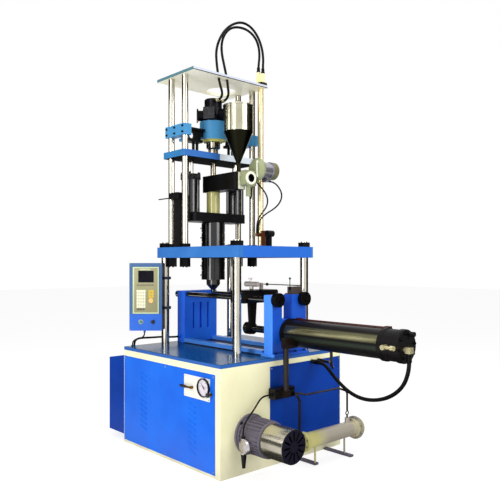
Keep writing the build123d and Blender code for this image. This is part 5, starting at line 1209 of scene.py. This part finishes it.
@dataclass
class InjectionDetails:
    """Trim of the injection unit: tie rods, heater clamps, hopper bead and worm eye."""

    body: str = "injection_unit"
    rod_foot: float = 2000.0
    heater_low: float = 1404.0
    heater_pitch: float = 85.67
    heater_count: int = 6
    clamp_height: float = 0.46
    hopper_rim: Point = (30.0, 54.0, 2914.5)
    bead_radius: float = 131.5
    bead_roll: float = 4.6
    worm_eye: Point = (91.2, 114.0, 2288.0)

    def build(self) -> None:
        """Make the trim of the injection unit."""
        self._tie_rods()
        self._heater_clamps()
        self._hopper_rim()
        self._worm_eye()

    def _tie_rods(self) -> None:
        """Make the black tie rods of the injection cylinders."""
        rod = Bench.turned("cylinder_tie_rods", [(8, 0), (8, 40), (7.2, 41), (7.2, 250), (8, 251),
                                                 (8, 293.5)], (0, 0, 0), Side.UP, 16)
        places = [shift((x + dx, y + dy, self.rod_foot)) for x, y in CYLINDER_AXES
                  for dx, dy in product((-ROD_OFFSET, ROD_OFFSET), repeat=2)]
        Bench.fit(Bench.repeat(rod, places), BLACK_OXIDE, "cylinder_black", self.body)

    def _heater_clamps(self) -> None:
        """Make the clamp ears and the terminal caps of the heater bands."""
        ear = Bench.block("heater_clamps", (104, -9, -24), (116, 9, 24))
        Bench.sink_face(ear, Side.RIGHT, 4, 3)
        Bench.soften(ear, 1.2, 1)
        cap = Bench.turned("heater_terminals", [(11, 0), (11, 12), (8, 16), (8, 24), (5, 26)],
                           (103, 0, 0), Side.RIGHT, 16)
        bands = [shift((*BARREL_AXIS,
                        self.heater_low + self.heater_pitch * (band + self.clamp_height)))
                 for band in range(self.heater_count)]
        for pattern, angle, finish in ((ear, 150, HEATER_STEEL), (cap, 205, KNOB_BLACK)):
            places = [band @ turn_about("Z", angle) for band in bands]
            Bench.fit(Bench.repeat(pattern, places), finish, "heater_steel", self.body)

    def _hopper_rim(self) -> None:
        """Roll a bead round the hopper's rim."""
        Bench.clear()
        bpy.ops.mesh.primitive_torus_add(
            major_radius=self.bead_radius * METRE, minor_radius=self.bead_roll * METRE,
            major_segments=72, minor_segments=12, location=Vector(self.hopper_rim) * METRE)
        bead = bpy.context.object
        bead.name = "hopper_bead"
        Bench.settle(bead)
        bpy.ops.object.shade_smooth()
        Bench.fit(bead, HOPPER_STEEL, "hopper_steel", self.body)

    def _worm_eye(self) -> None:
        """Line the eye of the worm box and put the worm's nut into it."""
        x, y, z = self.worm_eye
        liner = Bench.turned("worm_eye_liner", [(35.8, 0), (35.8, 39), (33.8, 40.4), (33.2, 4)],
                             self.worm_eye, Side.RIGHT, 36)
        Bench.fit(liner, BLACK_OXIDE, "gear_cream", self.body)
        nut = Bench.repeat(Fasteners().hex_bolt("worm_nut", 27),
                           [seat((x + 4.4, y, z), Side.RIGHT, 14)])
        Bench.fit(nut, LEVER_STEEL, "gear_cream", self.body)


@dataclass
class HoseEnd:
    """Crimped end of a hose: hexagon nut, collar and ribbed sleeve."""

    name: str
    place: Point
    toward: Side
    hose: float
    sleeve: float
    finish: Finish = BLACK_OXIDE
    slot: str = "hose_black"
    body: str = "frame"
    ribs: int = 4

    def build(self) -> None:
        """Turn the sleeve and its nut round the start of the hose."""
        r = self.hose / 2
        outer = r + 3.6
        steps = [(outer + 2.2, -4), (outer + 2.2, 10), (outer + 0.5, 12), (outer, 14)]
        run = (self.sleeve - 20) / self.ribs
        for rib in range(self.ribs):
            z = 14 + rib * run
            steps += [(outer, z + 0.7 * run), (outer - 1.4, z + 0.78 * run),
                      (outer - 1.4, z + 0.92 * run), (outer, z + run)]
        steps += [(r + 1.0, self.sleeve), (r + 0.4, self.sleeve - 2)]
        Bench.fit(Bench.turned(self.name, steps, self.place, self.toward, 24), self.finish,
                  self.slot, self.body)


@dataclass
class Cord:
    """A hose or cable that hangs free between its two ends."""

    name: str
    diameter: float
    length: float
    stiffness: str
    points: list[Point]
    cad_node: str
    slot: str
    rides: tuple[str, ...] = ("frame",)

    def build(self) -> None:
        curve = bpy.data.curves.new(self.name, "CURVE")
        curve.dimensions = "3D"
        curve.bevel_depth = self.diameter / 2 * METRE
        curve.bevel_resolution = 3
        curve.resolution_u = 6
        curve.use_fill_caps = True
        spline = curve.splines.new("NURBS")
        spline.points.add(len(self.points) - 1)
        for point, spot in zip(spline.points, self.points):
            point.co = (*(value * METRE for value in spot), 1.0)
        spline.order_u = 3
        spline.use_endpoint_u = True
        cord = bpy.data.objects.new(self.name, curve)
        bpy.context.scene.collection.objects.link(cord)
        path = None
        if len(self.rides) == 2:
            cord, path = self._as_tube(cord)
        cord.data.materials.clear()
        cord.data.materials.append(RUBBER.material())
        if path is None:
            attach(cord, self.rides[0])
        else:
            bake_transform(cord)
        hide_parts(self.cad_node)
        LOG.info("%s is a cord of %.0f mm", self.name, self.length)

    @staticmethod
    def _as_tube(cord: Piece) -> tuple[Piece, list[Point]]:
        """Turn a cord between two bodies into a mesh tube, with the line that it follows.

        Args:
            cord: The curve.

        Returns:
            The tube and the points of its middle line.
        """
        depth = cord.data.bevel_depth
        cord.data.bevel_depth = 0.0
        cord.data.use_fill_caps = False
        graph = bpy.context.evaluated_depsgraph_get()
        line = bpy.data.meshes.new_from_object(cord.evaluated_get(graph))
        path = [tuple(vertex.co) for vertex in line.vertices]
        bpy.data.meshes.remove(line)
        cord.data.bevel_depth = depth
        cord.data.use_fill_caps = True
        Bench.pick(cord)
        bpy.ops.object.convert(target="MESH")
        return bpy.context.object, path


MOTOR_HOSE_OUTER = Cord("hose_to_motor_outer", 22, 1476, "medium", [
    (-215, 15, 3010), (-175, 15, 3010), (-138, 7, 3028), (-114, -8, 3058), (-110, -34, 3108),
    (-110, -56, 3186), (-108, -76, 3290), (-105, -86, 3390), (-99, -62, 3490), (-94, 2, 3596),
    (-92, 95, 3676), (-88, 205, 3720), (-83, 308, 3700), (-80, 388, 3632), (-77, 436, 3540),
    (-75, 452, 3440), (-75, 446, 3362), (-75, 446, 3302)],
    "motor_hose_outer", "hose_black", ("thrust_carriage", "frame"))
MOTOR_HOSE_INNER = Cord("hose_to_motor_inner", 22, 1388, "medium", [
    (-215, 78, 3010), (-175, 78, 3010), (-138, 74, 3029), (-114, 66, 3060), (-109, 52, 3112),
    (-107, 38, 3188), (-108, 8, 3296), (-114, -16, 3400), (-120, -10, 3498), (-124, 34, 3590),
    (-125, 108, 3656), (-124, 204, 3684), (-122, 308, 3680), (-120, 394, 3634),
    (-120, 438, 3556), (-120, 446, 3466), (-120, 432, 3388), (-120, 432, 3320)],
    "motor_hose_inner", "hose_black_inner", ("thrust_carriage", "frame"))
CYLINDER_HOSE = Cord("hose_to_clamp_cylinder", 28, 1355, "medium", [
    (1766, 24, 965), (1766, 24, 905), (1758, 25, 838), (1720, 34, 752), (1640, 55, 678),
    (1530, 84, 620), (1405, 115, 584), (1275, 148, 572), (1148, 181, 590), (1020, 214, 640),
    (905, 250, 702), (820, 285, 741), (757, 298, 752), (700, 298, 752)],
    "cylinder_hose", "clamp_hose_black")
GEAR_CABLE_OUTER = Cord("cable_of_gear_motor", 13, 924, "limp", [
    (140, 330, 2276), (190, 326, 2262), (262, 302, 2226), (322, 276, 2182), (358, 258, 2140),
    (362, 250, 2100), (334, 254, 2066), (276, 278, 2042), (170, 326, 2020), (62, 368, 2003),
    (-24, 392, 1976), (-78, 400, 1936), (-92, 400, 1884), (-92, 400, 1828)],
    "gear_cable_outer", "gear_cable_black", ("frame", "injection_unit"))
GEAR_CABLE_INNER = Cord("cable_of_gear_switch", 13, 745, "limp", [
    (118, 205, 2250), (152, 196, 2224), (198, 184, 2192), (240, 176, 2156), (262, 178, 2118),
    (252, 194, 2082), (208, 228, 2054), (134, 276, 2030), (54, 322, 2008), (-14, 352, 1980),
    (-66, 372, 1940), (-82, 374, 1886), (-82, 374, 1828)],
    "gear_cable_inner", "gear_cable_grey", ("frame", "injection_unit"))
CONTROL_CABLE = Cord("cable_of_control_box", 12, 171, "limp", [
    (-571.2, -514.5, 947), (-571.2, -514.5, 928), (-576.2, -522.5, 910.3),
    (-585.2, -536.9, 898), (-598.3, -557.8, 890), (-612.4, -580.4, 885.3),
    (-621.4, -594.8, 873), (-626.2, -602.5, 855.2), (-626.2, -602.5, 836)],
    "control_cable", "control_cable_black")
CLAMP_CABLE = Cord("cable_of_clamp", 18, 548, "medium", [
    (-700, -540, 766), (-700, -540, 802), (-693, -543, 838), (-672, -546, 870),
    (-638, -538, 888), (-606, -508, 894), (-588, -464, 894), (-584, -406, 892),
    (-592, -338, 890), (-592, -272, 884), (-570, -210, 880), (-570, -158, 880)],
    "clamp_cable", "clamp_cable_black")
MOTOR_CABLE = Cord("cable_of_drive_motor", 13, 445, "medium", [
    (752, -530, 312), (752, -530, 346), (746, -512, 390), (732, -468, 430), (720, -412, 462),
    (712, -364, 500), (707, -324, 538), (701, -280, 556), (698, -242, 556), (698, -206, 556)],
    "motor_cable", "motor_cable_black")
CORDS = [MOTOR_HOSE_OUTER, MOTOR_HOSE_INNER, CYLINDER_HOSE, GEAR_CABLE_OUTER, GEAR_CABLE_INNER,
         CONTROL_CABLE, CLAMP_CABLE, MOTOR_CABLE]
HOSE_ENDS = [
    HoseEnd("outer_hose_start", (-215, 15, 3010), Side.RIGHT, 22, 30, FITTING, "nut_black",
            "thrust_carriage"),
    HoseEnd("inner_hose_start", (-215, 78, 3010), Side.RIGHT, 22, 30, FITTING, "nut_black",
            "thrust_carriage"),
    HoseEnd("outer_hose_end", (-75, 446, 3302), Side.UP, 22, 44),
    HoseEnd("inner_hose_end", (-120, 432, 3320), Side.UP, 22, 44),
    HoseEnd("clamp_hose_start", (1766, 24, 965), Side.DOWN, 28, 56),
    HoseEnd("clamp_hose_end", (700, 298, 752), Side.RIGHT, 28, 50),
]


@dataclass(frozen=True)
class Lamp:
    """A soft lamp, its place and size in metres and its power in watts."""

    place: Point
    width: float
    height: float
    power: float
    lights: bool = True


@dataclass(frozen=True)
class Card:
    """A dark card round the set: its angle from the camera in degrees, its ends in metres."""

    angle: int
    low: float
    high: float


@dataclass
class Studio:
    """Camera, lamps, floor and the dark cards that draw the edges of bright metal, in metres."""

    camera_place: Point = (4.0253, -3.4227, 1.5655)
    azimuth: float = 47.875
    sensor: float = 36.0
    lens: float = 43.94
    shift: float = 0.02352
    ambient: float = 0.52
    floor_size: float = 60.0
    floor_place: Point = (0, 0, -0.0005)
    paper: float = 0.42
    paper_glow: tuple[float, float] = (0.60, 0.74)
    aim: Point = (0.1, 0.0, 1.4)
    lamps: tuple[Lamp, ...] = (Lamp((1.5, -5.0, 2.5), 0.9, 4.6, 150.0),
                               Lamp((5.4, 1.0, 3.2), 2.8, 2.8, 118.0),
                               Lamp((-1.7, -3.4, 2.7), 0.8, 2.2, 18.0, lights=False),
                               Lamp((0.6, -0.6, 6.4), 2.4, 2.4, 90.0))
    card_black: float = 0.004
    card_distance: float = 6.0
    card_step: int = 30
    cards: tuple[Card, ...] = (Card(75, 0.0, 5.4), Card(105, 0.0, 5.4), Card(135, 0.0, 5.4),
                               Card(195, 4.6, 8.6), Card(225, 0.0, 8.6), Card(255, 0.0, 5.4),
                               Card(285, 0.0, 5.4))
    shade_place: Point = (0, 1.45, -0.0003)
    shade_size: Point = (7.0, 4.4, 1.0)

    def build(self) -> None:
        """Set up the studio round the machine."""
        self._camera()
        self._world()
        self._floor()
        self._lamps()
        self._cards()
        bpy.context.scene.view_settings.view_transform = "Standard"

    def _camera(self) -> None:
        """Stand the camera where the photographer stood."""
        Bench.clear()
        bpy.ops.object.camera_add(location=self.camera_place,
                                  rotation=(math.radians(90), 0, math.radians(self.azimuth)))
        camera = bpy.context.object
        camera.data.sensor_width = self.sensor
        camera.data.lens = self.lens
        camera.data.shift_y = self.shift
        bpy.context.scene.camera = camera

    def _world(self) -> None:
        """Light all round; the camera and bright metal see plain white."""
        world = bpy.data.worlds.new("studio_world")
        bpy.context.scene.world = world
        world.use_nodes = True
        nodes = Nodes(world.node_tree)
        seen = self._seen_by(nodes, "Camera", "Glossy", "Transmission")
        nodes.feed(nodes.tree.nodes["Background"],
                   {"Color": (1, 1, 1, 1), "Strength": nodes.span(seen, 0, 1, self.ambient, 1)})

    @staticmethod
    def _seen_by(nodes: Nodes, *kinds: str) -> Socket:
        """Tell whether a ray is of one of some kinds.

        Args:
            nodes: The nodes.
            kinds: The kinds of ray.

        Returns:
            A socket that is 1 for these rays and 0 for all others.
        """
        rays = nodes.add("LightPath").outputs
        seen = rays[f"Is {kinds[0]} Ray"]
        for kind in kinds[1:]:
            seen = nodes.combine("MAXIMUM", seen, rays[f"Is {kind} Ray"])
        return seen

    def _floor(self) -> None:
        """Lay a plain white floor that keeps the machine's shadow."""
        Bench.clear()
        bpy.ops.mesh.primitive_plane_add(size=self.floor_size, location=self.floor_place)
        floor = bpy.context.object
        floor.name = "studio_floor"
        made = bpy.data.materials.new("floor_white")
        made.use_nodes = True
        nodes = Nodes(made.node_tree)
        nodes.tree.nodes.remove(nodes.tree.nodes["Principled BSDF"])
        paper = nodes.add("BsdfDiffuse")
        nodes.feed(paper, {"Color": (self.paper, self.paper, self.paper, 1)})
        glow = nodes.add("Emission")
        seen = self._seen_by(nodes, "Camera", "Glossy")
        nodes.feed(glow, {"Strength": nodes.span(seen, 0, 1, *self.paper_glow)})
        both = nodes.add("AddShader")
        nodes.feed(both, {0: paper.outputs["BSDF"], 1: glow.outputs["Emission"]})
        nodes.feed(nodes.tree.nodes["Material Output"], {"Surface": both.outputs["Shader"]})
        floor.data.materials.append(made)

    def _lamps(self) -> None:
        """Hang the soft lamps."""
        for lamp in self.lamps:
            Bench.clear()
            bpy.ops.object.light_add(type="AREA", location=lamp.place)
            light = bpy.context.object
            light.data.energy = lamp.power
            light.data.shape = "RECTANGLE"
            light.data.size = lamp.width
            light.data.size_y = lamp.height
            aim = Vector(self.aim) - Vector(lamp.place)
            light.rotation_mode = "QUATERNION"
            light.rotation_quaternion = aim.to_track_quat("-Z", "Y")
            light.visible_diffuse = lamp.lights

    def _cards(self) -> None:
        """Stand dark cards round the set and lay one behind it."""
        paint = bpy.data.materials.new("card_black")
        paint.use_nodes = True
        nodes = Nodes(paint.node_tree)
        nodes.feed(nodes.tree.nodes["Principled BSDF"],
                   {"Base Color": (self.card_black, self.card_black, self.card_black, 1),
                    "Roughness": 1.0, "Specular IOR Level": 0.0})
        facing = math.atan2(self.camera_place[1], self.camera_place[0])
        width = 2 * self.card_distance * math.tan(math.radians(self.card_step / 2))
        upright = math.radians(90)
        for card in self.cards:
            angle = facing + math.radians(card.angle)
            place = (self.card_distance * math.cos(angle), self.card_distance * math.sin(angle),
                     (card.low + card.high) / 2)
            self._card(f"dark_card_{card.angle}", place, (upright, 0, angle + upright),
                       (width, card.high - card.low, 1), paint)
        self._card("dark_floor_card", self.shade_place, (0, 0, 0), self.shade_size, paint)

    @staticmethod
    def _card(name: str, place: Point, turn: Point, size: Point,
              paint: bpy.types.Material) -> None:
        """Make a card that only reflections see.

        Args:
            name: Its name.
            place: Its middle.
            turn: Its rotation in radians.
            size: Its scale.
            paint: Its paint.
        """
        Bench.clear()
        bpy.ops.mesh.primitive_plane_add(size=1, location=place, rotation=turn)
        card = bpy.context.object
        card.name = name
        card.scale = size
        Bench.settle(card)
        card.data.materials.append(paint)
        card.visible_camera = False
        card.visible_diffuse = False
        card.visible_shadow = False
        card.visible_transmission = False


@dataclass
class Machine:
    """The whole machine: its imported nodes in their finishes, and the pieces that dress them."""

    nodes: dict[str, Piece]

    def paint_nodes(self) -> None:
        """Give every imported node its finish."""
        for name, finish in NODE_FINISH.items():
            for place in self.nodes[name].material_slots:
                place.material = finish.material()
            LOG.info("%s in %s", name, finish.name)

    def build(self) -> None:
        """Paint the nodes and add the pieces."""
        self.paint_nodes()
        for part in (*CORDS, *HOSE_ENDS, Fasteners(), ControlPanel(), Gauge(),
                     InjectionDetails()):
            part.build()
            LOG.info("%s is done", type(part).__name__)


def main() -> None:
    """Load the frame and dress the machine."""
    logging.basicConfig(level=logging.INFO, format="%(name)s: %(message)s")
    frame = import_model()
    Studio().build()
    Machine(frame["nodes"]).build()


if __name__ == "__main__":
    main()
